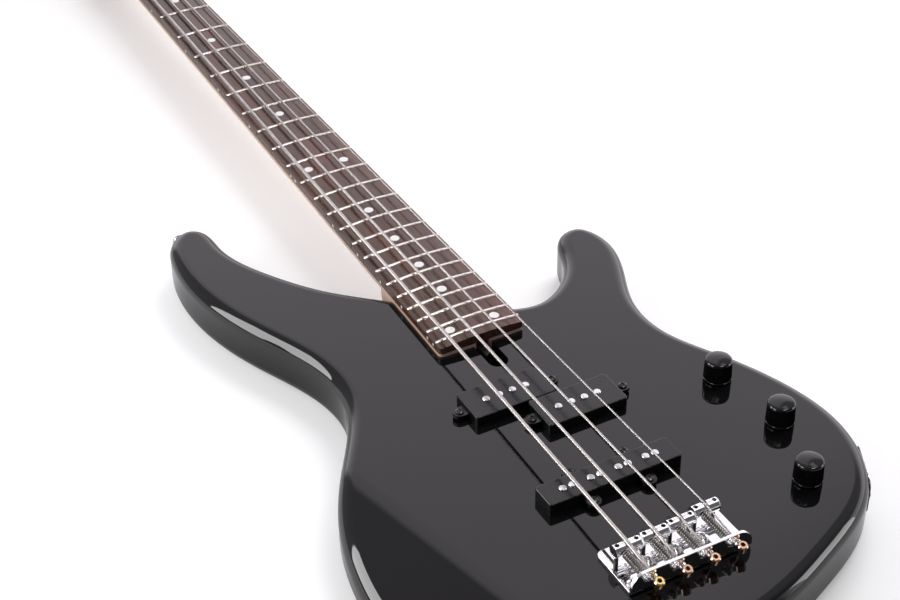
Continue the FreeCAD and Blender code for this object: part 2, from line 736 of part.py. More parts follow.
def body():
    shape = rounded_slab().cut(arm_cut()).fuse(heel_block())
    cuts = [neck_pocket(), truss_channel()] + pickup_pockets() + jack_cuts()
    for spot in bridge_screw_spots():
        sunk = MOUNTING_SCREW_LENGTH + FIT
        cuts.append(rod(spot - Z_AXIS * sunk, Z_AXIS, MOUNTING_SCREW_RADIUS + FIT, sunk + OVERRUN))
    cuts.append(prism(neck_plate_loop(FIT, -OVERRUN), OVERRUN + NECK_PLATE_THICKNESS + FIT))
    for spot in neck_screw_spots():
        cuts.append(rod(spot, Z_AXIS, NECK_SCREW_RADIUS + FIT, POCKET_Z + OVERRUN))
    cavity = cavity_loop(COVER_THICKNESS, 0, CAVITY_CORNER_RADIUS)
    cuts.append(prism(cavity, TOP_Z - CAVITY_TOP - COVER_THICKNESS))
    rebate = cavity_loop(-OVERRUN, COVER_LIP, CAVITY_CORNER_RADIUS)
    cuts.append(prism(rebate, OVERRUN + COVER_THICKNESS + FIT))
    for x, y in KNOB_SPOTS:
        low = Vector(x, y, TOP_Z - CAVITY_TOP - OVERRUN)
        cuts.append(rod(low, Z_AXIS, BUSH_RADIUS + FIT, CAVITY_TOP + 2 * OVERRUN))
    for spot in cover_screw_spots():
        cuts.append(rod(spot, Z_AXIS, SCREW_RADIUS + FIT, SCREW_LENGTH + FIT))
    for seat, out in strap_seats():
        cuts.append(rod(seat, out, BUTTON_RIM_RADIUS + FIT, BUTTON_LENGTH))
        sunk = MOUNTING_SCREW_LENGTH - BUTTON_LENGTH + FIT
        cuts.append(rod(seat - out * sunk, out, MOUNTING_SCREW_RADIUS + FIT, sunk + OVERRUN))
    shape = shape.cut(cuts)
    return max(shape.Solids, key=lambda s: s.Volume)


def half_ellipse(y, half_width, depth):
    # Neck section: flat on top, half an ellipse below.
    ellipse = Part.Ellipse(Vector(0, 0, 0), half_width, depth)
    arc = Part.ArcOfEllipse(ellipse, math.pi, 2 * math.pi).toShape()
    arc.rotate(Vector(0, 0, 0), X_AXIS, 90)
    arc.translate(Vector(0, y, SEAT_Z))
    first = arc.valueAt(arc.FirstParameter)
    last = arc.valueAt(arc.LastParameter)
    return Part.Wire([arc, Part.makeLine(last, first)])


def tuner_spots():
    near = HEAD_Y + NEAR_TUNER_Y
    far = HEAD_Y + FAR_TUNER_Y
    return [(-TUNER_X, near, -1), (-TUNER_X, far, -1), (TUNER_X, far, 1), (TUNER_X, near, 1)]


def headstock():
    tip = HEAD_HALF_WIDTH * HEAD_TIP_SHARE
    end = HEAD_Y + HEAD_LENGTH
    throat = half_width_at(NUT_Y)
    half = [Vector(throat, NUT_Y, HEAD_BACK_Z), Vector(throat, HEAD_Y + HEAD_COVE_RADIUS, HEAD_BACK_Z)]
    half += [Vector(HEAD_HALF_WIDTH, HEAD_Y + HEAD_SHOULDER, HEAD_BACK_Z)]
    half += [Vector(HEAD_HALF_WIDTH, end - HEAD_SHOULDER, HEAD_BACK_Z), Vector(tip, end, HEAD_BACK_Z)]
    radii = [0, HEAD_CORNER_RADIUS, HEAD_CORNER_RADIUS, HEAD_CORNER_RADIUS, HEAD_COVE_RADIUS]
    other = [Vector(-p.x, p.y, p.z) for p in reversed(half)]
    blank = prism(rounded_loop(half + other, radii + radii[::-1]), HEAD_THICKNESS)
    front = [e for e in blank.Edges if e.BoundBox.YMax < NUT_Y + FIT]
    low = [e for e in front if e.BoundBox.ZMax < HEAD_BACK_Z + FIT]
    blank = blank.makeChamfer(HEAD_CHAMFER, low)
    cove = box(Vector(-throat, HEAD_Y, HEAD_TOP_Z), Vector(throat, HEAD_Y + HEAD_COVE_RADIUS, SEAT_Z))
    spot = Vector(-throat - OVERRUN, HEAD_Y + HEAD_COVE_RADIUS, HEAD_TOP_Z + HEAD_COVE_RADIUS)
    cove = cove.cut(rod(spot, X_AXIS, HEAD_COVE_RADIUS, 2 * throat + 2 * OVERRUN))
    return blank.fuse(cove)


def neck():
    heel = prism(taper_loop(BOARD_END_Y, HEEL_END_Y, POCKET_Z, HEEL_CORNER_RADIUS, 0), SEAT_Z - POCKET_Z)
    end = [e for e in heel.Edges if e.BoundBox.YMin > HEEL_END_Y - FIT]
    low = [e for e in end if e.BoundBox.ZMax < POCKET_Z + FIT]
    heel = heel.makeFillet(HEEL_ROUND_RADIUS, low)
    start = HEEL_END_Y - 2 * HEEL_ROUND_RADIUS
    near = half_ellipse(start, half_width_at(start), NECK_DEPTH_AT_HEEL)
    far = half_ellipse(HEAD_Y, half_width_at(NUT_Y), NECK_DEPTH_AT_NUT)
    shape = Part.makeLoft([near, far], True, True).fuse([heel, headstock()]).removeSplitter()
    half = TRUSS_WIDTH / 2 + FIT
    deep = TRUSS_Z - TRUSS_HEIGHT / 2 - FIT
    slot = box(Vector(-half, TRUSS_START_Y - FIT, deep), Vector(half, TRUSS_END_Y + FIT, SEAT_Z + OVERRUN))
    wide = TRUSS_SLOT_WIDTH / 2
    room = TRUSS_Z - wide
    mouth = box(Vector(-wide, BOARD_END_Y - OVERRUN, room), Vector(wide, TRUSS_START_Y, SEAT_Z + OVERRUN))
    cuts = [slot, mouth]
    for spot in neck_screw_spots():
        cuts.append(rod(spot, Z_AXIS, NECK_SCREW_RADIUS + FIT, NECK_SCREW_LENGTH + FIT))
    for x, y, side in tuner_spots():
        low = Vector(x, y, HEAD_BACK_Z - OVERRUN)
        cuts.append(rod(low, Z_AXIS, BUSHING_RADIUS + FIT, HEAD_THICKNESS + 2 * OVERRUN))
    for spot in tuner_screw_spots():
        cuts.append(rod(spot, Z_AXIS, SCREW_RADIUS + FIT, SCREW_LENGTH - HOUSING_WALL + FIT))
    return shape.cut(cuts)


def board_round(radius):
    centre = Vector(0, BOARD_END_Y - OVERRUN, BOARD_Z - BOARD_RADIUS)
    return rod(centre, Y_AXIS, radius, NUT_Y - BOARD_END_Y + 2 * OVERRUN)


def board_blank():
    block = prism(taper_loop(BOARD_END_Y, NUT_Y, SEAT_Z, BOARD_CORNER_RADIUS, 0), BOARD_THICKNESS + OVERRUN)
    return block.common(board_round(BOARD_RADIUS))


def marker_spots():
    spots = [(fret_gap(n), 0) for n in MARKER_FRETS]
    for n in DOUBLE_MARKER_FRETS:
        y = fret_gap(n)
        spread = string_x(3, y) - string_x(2, y)
        spots += [(y, -spread), (y, spread)]
    return spots


def fret_gap(number):
    return (fret_y(number) + fret_y(number - 1)) / 2


def marker_rod(spot, grow):
    y, x = spot
    drop = BOARD_RADIUS - math.sqrt(BOARD_RADIUS * BOARD_RADIUS - x * x)
    low = Vector(x, y, BOARD_Z - drop - MARKER_DEPTH - grow)
    return rod(low, Z_AXIS, MARKER_RADIUS + grow, MARKER_DEPTH + OVERRUN)


def side_spots():
    spots = [fret_gap(n) for n in MARKER_FRETS]
    for n in DOUBLE_MARKER_FRETS:
        spots += [fret_gap(n) - SIDE_MARKER_SPREAD, fret_gap(n) + SIDE_MARKER_SPREAD]
    return spots


def side_rod(y, grow):
    start = Vector(-half_width_at(y) + SIDE_MARKER_DEPTH + grow, y, BOARD_Z - SIDE_MARKER_DROP)
    return rod(start, X_AXIS * -1, SIDE_MARKER_RADIUS + grow, SIDE_MARKER_DEPTH + OVERRUN)


def fret_profile(y, half_width, low, high):
    # Upright section of a fret as a closed loop, arched on top.
    left = Vector(0, y - half_width, low)
    right = Vector(0, y + half_width, low)
    arch = Part.Arc(left, Vector(0, y, high), right).toShape()
    return Part.Wire([arch, Part.makeLine(right, left)])


def swept_across(loop, angle):
    pivot = Vector(0, 0, BOARD_Z - BOARD_RADIUS)
    face = Part.Face(loop)
    face.rotate(pivot, Y_AXIS, -angle)
    return face.revolve(pivot, Y_AXIS, 2 * angle)


def fret(number):
    y = fret_y(number)
    angle = math.degrees(math.asin((half_width_at(y) - FRET_INSET) / BOARD_RADIUS))
    crown = swept_across(fret_profile(y, FRET_WIDTH / 2, BOARD_Z, FRET_Z), angle)
    return crown.fuse(swept_across(tang_loop(y, 0), angle)).removeSplitter()


def tang_loop(y, grow):
    half = FRET_TANG_WIDTH / 2 + grow
    deep = BOARD_Z - FRET_TANG_DEPTH - grow
    high = BOARD_Z + OVERRUN if grow else BOARD_Z
    corners = [Vector(0, y - half, deep), Vector(0, y + half, deep)]
    corners += [Vector(0, y + half, high), Vector(0, y - half, high)]
    return Part.makePolygon(corners + corners[:1])


def fingerboard(blank):
    cuts = []
    for number in range(1, FRET_COUNT + 1):
        y = fret_y(number)
        angle = math.degrees(math.asin((half_width_at(y) + OVERRUN) / BOARD_RADIUS))
        cuts.append(swept_across(tang_loop(y, FIT), angle))
    cuts += [marker_rod(spot, FIT) for spot in marker_spots()]
    cuts += [side_rod(y, FIT) for y in side_spots()]
    return blank.cut(cuts)


def string_nut():
    half = half_width_at(NUT_Y)
    high = FRET_Z + NUT_CROWN
    block = box(Vector(-half, NUT_Y, SEAT_Z), Vector(half, HEAD_Y, high))
    block = block.common(rod(Vector(0, NUT_Y, high - BOARD_RADIUS), Y_AXIS, BOARD_RADIUS, NUT_LENGTH))
    cuts = []
    for index, radius in enumerate(STRING_RADII):
        x = string_x(index, NUT_Y)
        wide = radius + FIT
        low = Vector(x, NUT_Y - OVERRUN, nut_string_z(index))
        cuts.append(rod(low, Y_AXIS, wide, NUT_LENGTH + 2 * OVERRUN))
        cuts.append(box(low - X_AXIS * wide, Vector(x + wide, HEAD_Y + OVERRUN, high + OVERRUN)))
    return block.cut(cuts)


def nut_string_z(index):
    return FRET_Z + STRING_RADII[index]


def truss_rod():
    half = TRUSS_WIDTH / 2
    tall = TRUSS_HEIGHT / 2
    bar = box(Vector(-half, TRUSS_START_Y, TRUSS_Z - tall), Vector(half, TRUSS_END_Y, TRUSS_Z + tall))
    end = BOARD_END_Y - TRUSS_NUT_REACH + TRUSS_KEY_DEPTH + TRUSS_STUB_GAP
    return bar.fuse(rod(Vector(0, end, TRUSS_Z), Y_AXIS, TRUSS_STUB_RADIUS, TRUSS_START_Y - end))


def truss_nut():
    start = Vector(0, BOARD_END_Y - TRUSS_NUT_REACH, TRUSS_Z)
    barrel = rod(start, Y_AXIS, TRUSS_NUT_RADIUS, TRUSS_NUT_LENGTH)
    key = hexagon(start - Y_AXIS * OVERRUN, Y_AXIS, TRUSS_KEY_WIDTH, TRUSS_KEY_DEPTH + OVERRUN)
    deep = TRUSS_KEY_DEPTH + TRUSS_NUT_WEB
    bore = rod(start + Y_AXIS * deep, Y_AXIS, TRUSS_STUB_RADIUS + RUNNING_FIT, TRUSS_NUT_LENGTH)
    return barrel.cut([key, bore])


def neck_plate():
    plate = prism(neck_plate_loop(0, 0), NECK_PLATE_THICKNESS)
    size = (NECK_SCREW_RADIUS, NECK_SCREW_LENGTH, NECK_SCREW_HEAD_RADIUS)
    return plate.cut([sunk_hole(spot, Z_AXIS * -1, *size) for spot in neck_screw_spots()])


def bridge_plate():
    low = TOP_Z
    corners = [Vector(-PLATE_HALF_WIDTH, -PLATE_REAR, low), Vector(PLATE_HALF_WIDTH, -PLATE_REAR, low)]
    corners += [Vector(PLATE_HALF_WIDTH, PLATE_FRONT, low), Vector(-PLATE_HALF_WIDTH, PLATE_FRONT, low)]
    plate = prism(rounded_loop(corners, [0, 0, PLATE_CORNER_RADIUS, PLATE_CORNER_RADIUS]), PLATE_THICKNESS)
    high = TOP_Z + FLANGE_HEIGHT
    rise = [Vector(-PLATE_HALF_WIDTH, -PLATE_REAR, low), Vector(PLATE_HALF_WIDTH, -PLATE_REAR, low)]
    rise += [Vector(PLATE_HALF_WIDTH, -PLATE_REAR, high), Vector(-PLATE_HALF_WIDTH, -PLATE_REAR, high)]
    loop = rounded_loop(rise, [0, 0, FLANGE_CORNER_RADIUS, FLANGE_CORNER_RADIUS])
    flange = Part.Face(loop).extrude(Y_AXIS * PLATE_THICKNESS)
    shape = plate.fuse(flange).removeSplitter()
    bend = [e for e in shape.Edges if e.BoundBox.YMax < FIT - PLATE_REAR and e.BoundBox.ZMax < low + FIT]
    shape = shape.makeFillet(FLANGE_BEND_RADIUS, bend)
    cuts = []
    deep = PLATE_THICKNESS + 2 * OVERRUN
    for index in range(len(STRING_NAMES)):
        x = saddle_centre(index).x
        start = Vector(x - INTONATION_OFFSET, -PLATE_REAR - OVERRUN, SADDLE_Z)
        cuts.append(rod(start, Y_AXIS, INTONATION_RADIUS + FIT, deep))
        start = Vector(x + STRING_HOLE_OFFSET, -PLATE_REAR - OVERRUN, STRING_HOLE_Z)
        cuts.append(rod(start, Y_AXIS, STRING_HOLE_RADIUS, deep))
    for spot in bridge_screw_spots():
        start = spot - Z_AXIS * (PLATE_THICKNESS + OVERRUN)
        cuts.append(rod(start, Z_AXIS, MOUNTING_SCREW_RADIUS + FIT, deep))
    return shape.cut(cuts)


def saddle(index):
    centre = saddle_centre(index)
    half = SADDLE_LENGTH / 2
    barrel = rod(centre - X_AXIS * half, X_AXIS, SADDLE_RADIUS, SADDLE_LENGTH)
    wide = SADDLE_GROOVE_WIDTH / 2
    ring = rod(centre - X_AXIS * wide, X_AXIS, SADDLE_RADIUS + OVERRUN, 2 * wide)
    ring = ring.cut(rod(centre - X_AXIS * half, X_AXIS, SADDLE_RADIUS - SADDLE_GROOVE_DEPTH, SADDLE_LENGTH))
    cuts = [ring]
    for side in (-1, 1):
        start = centre + Vector(side * GRUB_SPREAD, 0, -SADDLE_RADIUS - OVERRUN)
        cuts.append(rod(start, Z_AXIS, GRUB_RADIUS + FIT, 2 * SADDLE_RADIUS + 2 * OVERRUN))
    start = centre + Vector(-INTONATION_OFFSET, -SADDLE_RADIUS - OVERRUN, 0)
    cuts.append(rod(start, Y_AXIS, INTONATION_RADIUS + RUNNING_FIT, 2 * SADDLE_RADIUS + 2 * OVERRUN))
    return barrel.cut(cuts)


def grub_screws(index):
    screws = []
    for side in (-1, 1):
        low = saddle_centre(index) + X_AXIS * (side * GRUB_SPREAD)
        low.z = TOP_Z + PLATE_THICKNESS + FIT
        shank = rod(low, Z_AXIS, GRUB_RADIUS, GRUB_HEIGHT)
        socket = low + Z_AXIS * (GRUB_HEIGHT - GRUB_SOCKET_DEPTH)
        screws.append(shank.cut(hexagon(socket, Z_AXIS, GRUB_SOCKET_WIDTH, GRUB_SOCKET_DEPTH + OVERRUN)))
    return screws


def intonation_screw(index):
    seat = saddle_centre(index) - X_AXIS * INTONATION_OFFSET
    tip = seat.y + INTONATION_TIP
    seat.y = -PLATE_REAR - FIT
    head = (INTONATION_HEAD_RADIUS, INTONATION_HEAD_LENGTH)
    return screw(seat, Y_AXIS * -1, INTONATION_RADIUS, tip - seat.y, *head)


def spring(index):
    # Compression spring round the intonation screw, ends turned square to what they press on.
    centre = saddle_centre(index) - X_AXIS * INTONATION_OFFSET
    start = PLATE_THICKNESS - PLATE_REAR + FIT
    end = centre.y - SADDLE_RADIUS - FIT
    stub = SPRING_END_BEND + 2 * SPRING_WIRE_RADIUS
    room = end - start - 2 * stub
    turns = int(room / SPRING_LEAST_PITCH)
    pitch = room / turns
    centre.y = start + stub
    stations = coil_stations(centre, Y_AXIS, X_AXIS, SPRING_RADIUS, turns, pitch, 1)
    first, leave = stations[0]
    last, arrive = stations[-1]
    flat = Vector(0, 0, leave.z).normalize()
    foot = first - flat * SPRING_END_BEND - Y_AXIS * SPRING_END_BEND
    head = last + flat * SPRING_END_BEND + Y_AXIS * SPRING_END_BEND
    run = Y_AXIS * (2 * SPRING_WIRE_RADIUS)
    edges = [Part.makeLine(foot - run, foot)] + biarc(foot, Y_AXIS, first, leave) + coil_edges(stations)
    edges += biarc(last, arrive, head, Y_AXIS) + [Part.makeLine(head, head + run)]
    gap = least_gap(edges, SPRING_WIRE_RADIUS)
    print("spring", STRING_NAMES[index], "turns", turns, "gap", round(gap, 2))
    return tube(edges, SPRING_WIRE_RADIUS)


def hole_point(index):
    middle = PLATE_THICKNESS / 2 - PLATE_REAR
    return Vector(saddle_centre(index).x + STRING_HOLE_OFFSET, middle, STRING_HOLE_Z)


def string_slope(index):
    return (saddle_break(index) - hole_point(index)).normalize()


def ball_spot(index):
    # On the line of the string, with the ball resting on the flange.
    slope = string_slope(index)
    back = PLATE_THICKNESS / 2 + BALL_RADIUS * slope.y + BALL_LENGTH / 2 * slope.z + FIT
    return hole_point(index) - slope * (back / slope.y)


def saddle_break(index):
    centre = saddle_centre(index)
    return Vector(centre.x, centre.y, STRING_SEAT_Z + STRING_RADII[index])


def ball_end(index):
    axis = X_AXIS.cross(string_slope(index)).normalize()
    half = BALL_LENGTH / 2
    profile = [(BALL_HOLE_RADIUS, -half), (BALL_RADIUS - BALL_EDGE, -half), (BALL_RADIUS, BALL_EDGE - half)]
    profile += [(BALL_RADIUS, half - BALL_EDGE), (BALL_RADIUS - BALL_EDGE, half), (BALL_HOLE_RADIUS, half)]
    return turned(profile, ball_spot(index), axis)


def string(index):
    radius = STRING_RADII[index]
    x, y, side = tuner_spots()[index]
    over_nut = Vector(string_x(index, NUT_Y), HEAD_Y, nut_string_z(index))
    wrap = POST_WAIST_RADIUS + radius + AIR
    across = Vector(x - over_nut.x, y - over_nut.y, 0)
    away = across.Length
    lean = math.atan2(across.y, across.x) + side * math.asin(wrap / away)
    run = math.sqrt(away * away - wrap * wrap)
    touch = over_nut + Vector(run * math.cos(lean), run * math.sin(lean), 0)
    touch.z = HEAD_TOP_Z + STRING_WRAP_TOP
    post = Vector(x, y, touch.z)
    start = ball_spot(index) + string_slope(index) * (BALL_RADIUS + FIT)
    points = [start, saddle_break(index), over_nut, touch]
    edges = bent_path(points, [SADDLE_BEND_RADIUS, NUT_BEND_RADIUS])
    spoke = (touch - post).normalize()
    pitch = 2 * radius + STRING_WRAP_GAP
    stations = coil_stations(post, Z_AXIS * -1, spoke, wrap, STRING_WRAPS, pitch, side)
    stations[0] = (touch, (touch - over_nut).normalize())
    edges += coil_edges(stations)
    last, along = stations[-1]
    edges.append(Part.makeLine(last, last + along * (2 * radius)))
    gap = least_gap(edges, radius)
    print("string", STRING_NAMES[index], "wraps", STRING_WRAPS, "gap", round(gap, 2))
    return tube(edges, radius)


def pickup_cover(centre, length, width, rise, ears, poles):
    low = centre - Z_AXIS * PICKUP_SUNK
    tall = rise + PICKUP_SUNK
    shell = prism(rectangle(low, length, width, PICKUP_CORNER_RADIUS), tall)
    rim = [e for e in shell.Edges if e.BoundBox.ZMin > centre.z + rise - FIT]
    shell = shell.makeFillet(PICKUP_EDGE_RADIUS, rim)
    under = low - Z_AXIS * OVERRUN
    hollow = rectangle(under, length - 2 * PICKUP_WALL, width - 2 * PICKUP_WALL, PICKUP_CORNER_RADIUS)
    hollow = prism(hollow, tall + OVERRUN - PICKUP_WALL)
    lift = Z_AXIS * (PICKUP_EAR_TOP - PICKUP_EAR_THICKNESS)
    tabs = []
    for spot, radius in ears:
        inward = centre - spot
        inward = X_AXIS * inward.x if abs(spot.y - centre.y) < FIT else Y_AXIS * inward.y
        side = Z_AXIS.cross(inward).normalize() * radius
        corners = [spot + side, spot - side, spot + inward - side, spot + inward + side]
        tab = Part.Face(Part.makePolygon(corners + corners[:1])).extrude(Z_AXIS * PICKUP_EAR_THICKNESS)
        tab = tab.fuse(rod(spot, Z_AXIS, radius, PICKUP_EAR_THICKNESS))
        tab.translate(lift)
        tabs.append(tab)
    shell = shell.fuse(tabs).removeSplitter()
    cuts = [hollow]
    for spot, radius in ears:
        cuts.append(rod(spot, Z_AXIS, SCREW_RADIUS + FIT, PICKUP_EAR_TOP + OVERRUN))
    for spot in poles:
        cuts.append(rod(spot, Z_AXIS, POLE_RADIUS + FIT, rise + OVERRUN))
    return shell.cut(cuts)


def split_poles(centre):
    return [centre + X_AXIS * (k * SPLIT_POLE_PITCH) for k in STRING_STEPS_SHARES]


def bar_poles():
    spots = []
    for k in STRING_STEPS_SHARES:
        for side in (-1, 1):
            spots.append(bar_centre() + X_AXIS * (k * BAR_POLE_PITCH + side * BAR_POLE_PAIR / 2))
    return spots


def pole(spot, rise):
    low = -PICKUP_SUNK
    high = rise + POLE_RISE
    profile = [(0, low), (POLE_RADIUS, low), (POLE_RADIUS, high - POLE_EDGE)]
    profile += [(POLE_RADIUS - POLE_EDGE, high), (0, high)]
    return turned(profile, spot, Z_AXIS)


def coil(centre, poles, rise):
    # Wound wire bundle round the row of poles.
    first = poles[0].x - POLE_RADIUS - COIL_SPACE
    last = poles[-1].x + POLE_RADIUS + COIL_SPACE
    thick = POLE_RADIUS + COIL_SPACE
    low = centre + Vector((first + last) / 2 - centre.x, 0, -PICKUP_SUNK)
    tall = rise - PICKUP_WALL - FIT + PICKUP_SUNK
    outer = prism(rectangle(low, last - first, 2 * thick, thick - FIT), tall)
    inside = last - first - 2 * COIL_SPACE + 2 * FIT
    inner = rectangle(low - Z_AXIS * OVERRUN, inside, 2 * POLE_RADIUS + 2 * FIT, POLE_RADIUS)
    return outer.cut(prism(inner, tall + 2 * OVERRUN))


def small_screws():
    # The same pan head screw holds the pickups, the tuners and the jack plate.
    size = (SCREW_RADIUS, SCREW_LENGTH, SCREW_HEAD_RADIUS, SCREW_HEAD_HEIGHT)
    seats = [(spot + Z_AXIS * PICKUP_EAR_TOP, Z_AXIS) for spot in pickup_ear_spots()]
    seats += [(spot - Z_AXIS * HOUSING_WALL, Z_AXIS * -1) for spot in tuner_screw_spots()]
    screws = [screw(seat, out, *size) for seat, out in seats]
    for side in (-1, 1):
        seat = Vector(side * JACK_SCREW_SPREAD, 0, JACK_PLATE_THICKNESS)
        screws.append(on_side(screw(seat, Z_AXIS, *size)))
    return screws


def knob(x, y):
    # Barrel knob with a rounded rim and a shallow domed top.
    high = KNOB_HEIGHT - KNOB_LIFT - KNOB_DOME
    shoulder = KNOB_TOP_RADIUS - KNOB_RIM
    corner = Vector(shoulder, 0, high - KNOB_RIM)
    slant = KNOB_RIM * math.cos(math.pi / 4)
    foot = Vector(KNOB_RADIUS, 0, 0)
    side = Vector(KNOB_TOP_RADIUS, 0, high - KNOB_RIM)
    rim = Vector(shoulder, 0, high)
    ball = (shoulder * shoulder + KNOB_DOME * KNOB_DOME) / (2 * KNOB_DOME)
    half = math.asin(shoulder / ball) / 2
    crown = Vector(0, 0, high + KNOB_DOME)
    between = crown + Vector(ball * math.sin(half), 0, ball * math.cos(half) - ball)
    edges = [Part.makeLine(Vector(0, 0, 0), foot), Part.makeLine(foot, side)]
    edges.append(Part.Arc(side, corner + Vector(slant, 0, slant), rim).toShape())
    edges.append(Part.Arc(rim, between, crown).toShape())
    edges.append(Part.makeLine(crown, Vector(0, 0, 0)))
    shape = Part.Face(Part.Wire(edges)).revolve(Vector(0, 0, 0), Z_AXIS, 360)
    bore = rod(Vector(0, 0, -OVERRUN), Z_AXIS, SHAFT_RADIUS + FIT, KNOB_BORE_DEPTH + OVERRUN)
    room = rod(Vector(0, 0, -OVERRUN), Z_AXIS, KNOB_NUT_SPACE_RADIUS, KNOB_NUT_SPACE_HEIGHT + OVERRUN)
    shape = shape.cut([bore, room])
    shape.translate(Vector(x, y, TOP_Z + KNOB_LIFT))
    return shape


def pot_shaft(x, y):
    low = TOP_Z - CAVITY_TOP - POT_HEIGHT / 2
    return rod(Vector(x, y, low), Z_AXIS, SHAFT_RADIUS, TOP_Z + SHAFT_RISE - low)


def pot(x, y):
    high = TOP_Z - CAVITY_TOP
    can = rod(Vector(x, y, high - POT_HEIGHT), Z_AXIS, POT_RADIUS, POT_HEIGHT)
    bush = rod(Vector(x, y, high), Z_AXIS, BUSH_RADIUS, CAVITY_TOP + POT_BUSH_RISE)
    shape = can.fuse(bush)
    lug = Vector(POT_TERMINAL_WIDTH, POT_TERMINAL_REACH + POT_RADIUS / 2, POT_TERMINAL_THICKNESS)
    for k in (-1, 0, 1):
        low = Vector(x - POT_TERMINAL_WIDTH / 2, y - POT_RADIUS - POT_TERMINAL_REACH, high - POT_HEIGHT / 2)
        low = low + X_AXIS * (k * POT_TERMINAL_PITCH)
        shape = shape.fuse(box(low, low + lug))
    well = Vector(x, y, high - POT_HEIGHT / 2 - FIT)
    return shape.cut(rod(well, Z_AXIS, SHAFT_RADIUS + RUNNING_FIT, POT_HEIGHT + CAVITY_TOP + POT_BUSH_RISE))


def bush_nut():
    # The same nut holds the potentiometers and the jack.
    nut = hexagon(Vector(0, 0, 0), Z_AXIS, BUSH_NUT_WIDTH, BUSH_NUT_HEIGHT)
    return nut.cut(rod(Vector(0, 0, -OVERRUN), Z_AXIS, BUSH_RADIUS + FIT, BUSH_NUT_HEIGHT + 2 * OVERRUN))


def bush_nuts():
    nuts = []
    for x, y in KNOB_SPOTS:
        nut = bush_nut()
        nut.translate(Vector(x, y, TOP_Z))
        nuts.append(nut)
    nut = bush_nut()
    nut.translate(Z_AXIS * JACK_PLATE_THICKNESS)
    return nuts + [on_side(nut)]


def control_cover():
    plate = prism(cavity_loop(0, COVER_LIP - FIT, CAVITY_CORNER_RADIUS - FIT), COVER_THICKNESS)
    size = (SCREW_RADIUS, SCREW_LENGTH, SCREW_HEAD_RADIUS)
    return plate.cut([sunk_hole(spot, Z_AXIS * -1, *size) for spot in cover_screw_spots()])


def jack_plate():
    plate = prism(jack_plate_loop(0), JACK_PLATE_THICKNESS)
    cuts = [rod(Vector(0, 0, -OVERRUN), Z_AXIS, BUSH_RADIUS + FIT, JACK_PLATE_THICKNESS + 2 * OVERRUN)]
    for side in (-1, 1):
        start = Vector(side * JACK_SCREW_SPREAD, 0, -OVERRUN)
        cuts.append(rod(start, Z_AXIS, SCREW_RADIUS + FIT, JACK_PLATE_THICKNESS + 2 * OVERRUN))
    return on_side(plate.cut(cuts))


def output_jack():
    proud = JACK_PLATE_THICKNESS + BUSH_NUT_HEIGHT + JACK_NUT_PROUD
    low = proud - JACK_BARREL_LENGTH
    bottom = low + JACK_END_WALL
    profile = [(JACK_HOLE_RADIUS, proud), (JACK_HOLE_RADIUS, bottom), (0, bottom), (0, low)]
    profile += [(JACK_BARREL_RADIUS, low), (JACK_BARREL_RADIUS, -FIT)]
    profile += [(BUSH_RADIUS, -FIT), (BUSH_RADIUS, proud)]
    return on_side(turned(profile, Vector(0, 0, 0), Z_AXIS))


def wire(start, end):
    # Hook-up wire hanging in the control cavity between two solder points.
    drop = Z_AXIS * WIRE_DROP
    points = [start, start - drop, end - drop, end]
    return tube(bent_path(points, [WIRE_BEND_RADIUS] * 2), WIRE_RADIUS)


def terminal(spot, k):
    x, y = spot
    low = TOP_Z - CAVITY_TOP - POT_HEIGHT / 2 - FIT
    return Vector(x + k * POT_TERMINAL_PITCH, y - POT_RADIUS - POT_TERMINAL_REACH / 2, low)


def wiring():
    first, second, third = KNOB_SPOTS
    wires = [wire(terminal(first, k), terminal(second, k)) for k in (-1, 1)]
    return wires + [wire(terminal(second, 0), terminal(third, 0))]


def strap_button(seat, out):
    bore = MOUNTING_SCREW_RADIUS + FIT
    neck_end = BUTTON_LENGTH - BUTTON_RIM_THICKNESS
    profile = [(bore, 0), (BUTTON_BASE_RADIUS, 0), (BUTTON_BASE_RADIUS, BUTTON_BASE_THICKNESS)]
    profile += [(BUTTON_WAIST_RADIUS, BUTTON_LENGTH / 3), (BUTTON_WAIST_RADIUS, BUTTON_LENGTH / 2)]
    profile += [(BUTTON_RIM_RADIUS, neck_end), (BUTTON_RIM_RADIUS, BUTTON_LENGTH - BUTTON_BASE_THICKNESS)]
    profile += [(BUTTON_WAIST_RADIUS, BUTTON_LENGTH), (bore, BUTTON_LENGTH)]
    return turned(profile, seat, out)


def mounting_screws():
    # The same pan head screw holds the bridge and the strap buttons.
    seats = [(spot, Z_AXIS) for spot in bridge_screw_spots()]
    seats += [(seat + out * BUTTON_LENGTH, out) for seat, out in strap_seats()]
    shank = (MOUNTING_SCREW_RADIUS, MOUNTING_SCREW_LENGTH)
    head = (MOUNTING_SCREW_HEAD_RADIUS, MOUNTING_SCREW_HEAD_HEIGHT)
    return [screw(seat, out, *shank, *head) for seat, out in seats]


def gear_pitch_radius():
    return GEAR_MODULE * GEAR_TEETH / 2


def gear_z():
    return HEAD_BACK_Z - HOUSING_HEIGHT / 2


def worm_spot(x, y):
    return Vector(x, y + gear_pitch_radius() + WORM_PITCH_RADIUS, gear_z())


def tooth_profile(root, tip, width):
    # Trapezoid (across, outward) corners of a tooth or thread.
    slope = GEAR_TOOTH_TAPER_SHARE
    wide = width / 2 + GEAR_ROOT * slope
    thin = width / 2 - GEAR_MODULE * slope
    return [(-wide, root), (wide, root), (thin, tip), (-thin, tip)]


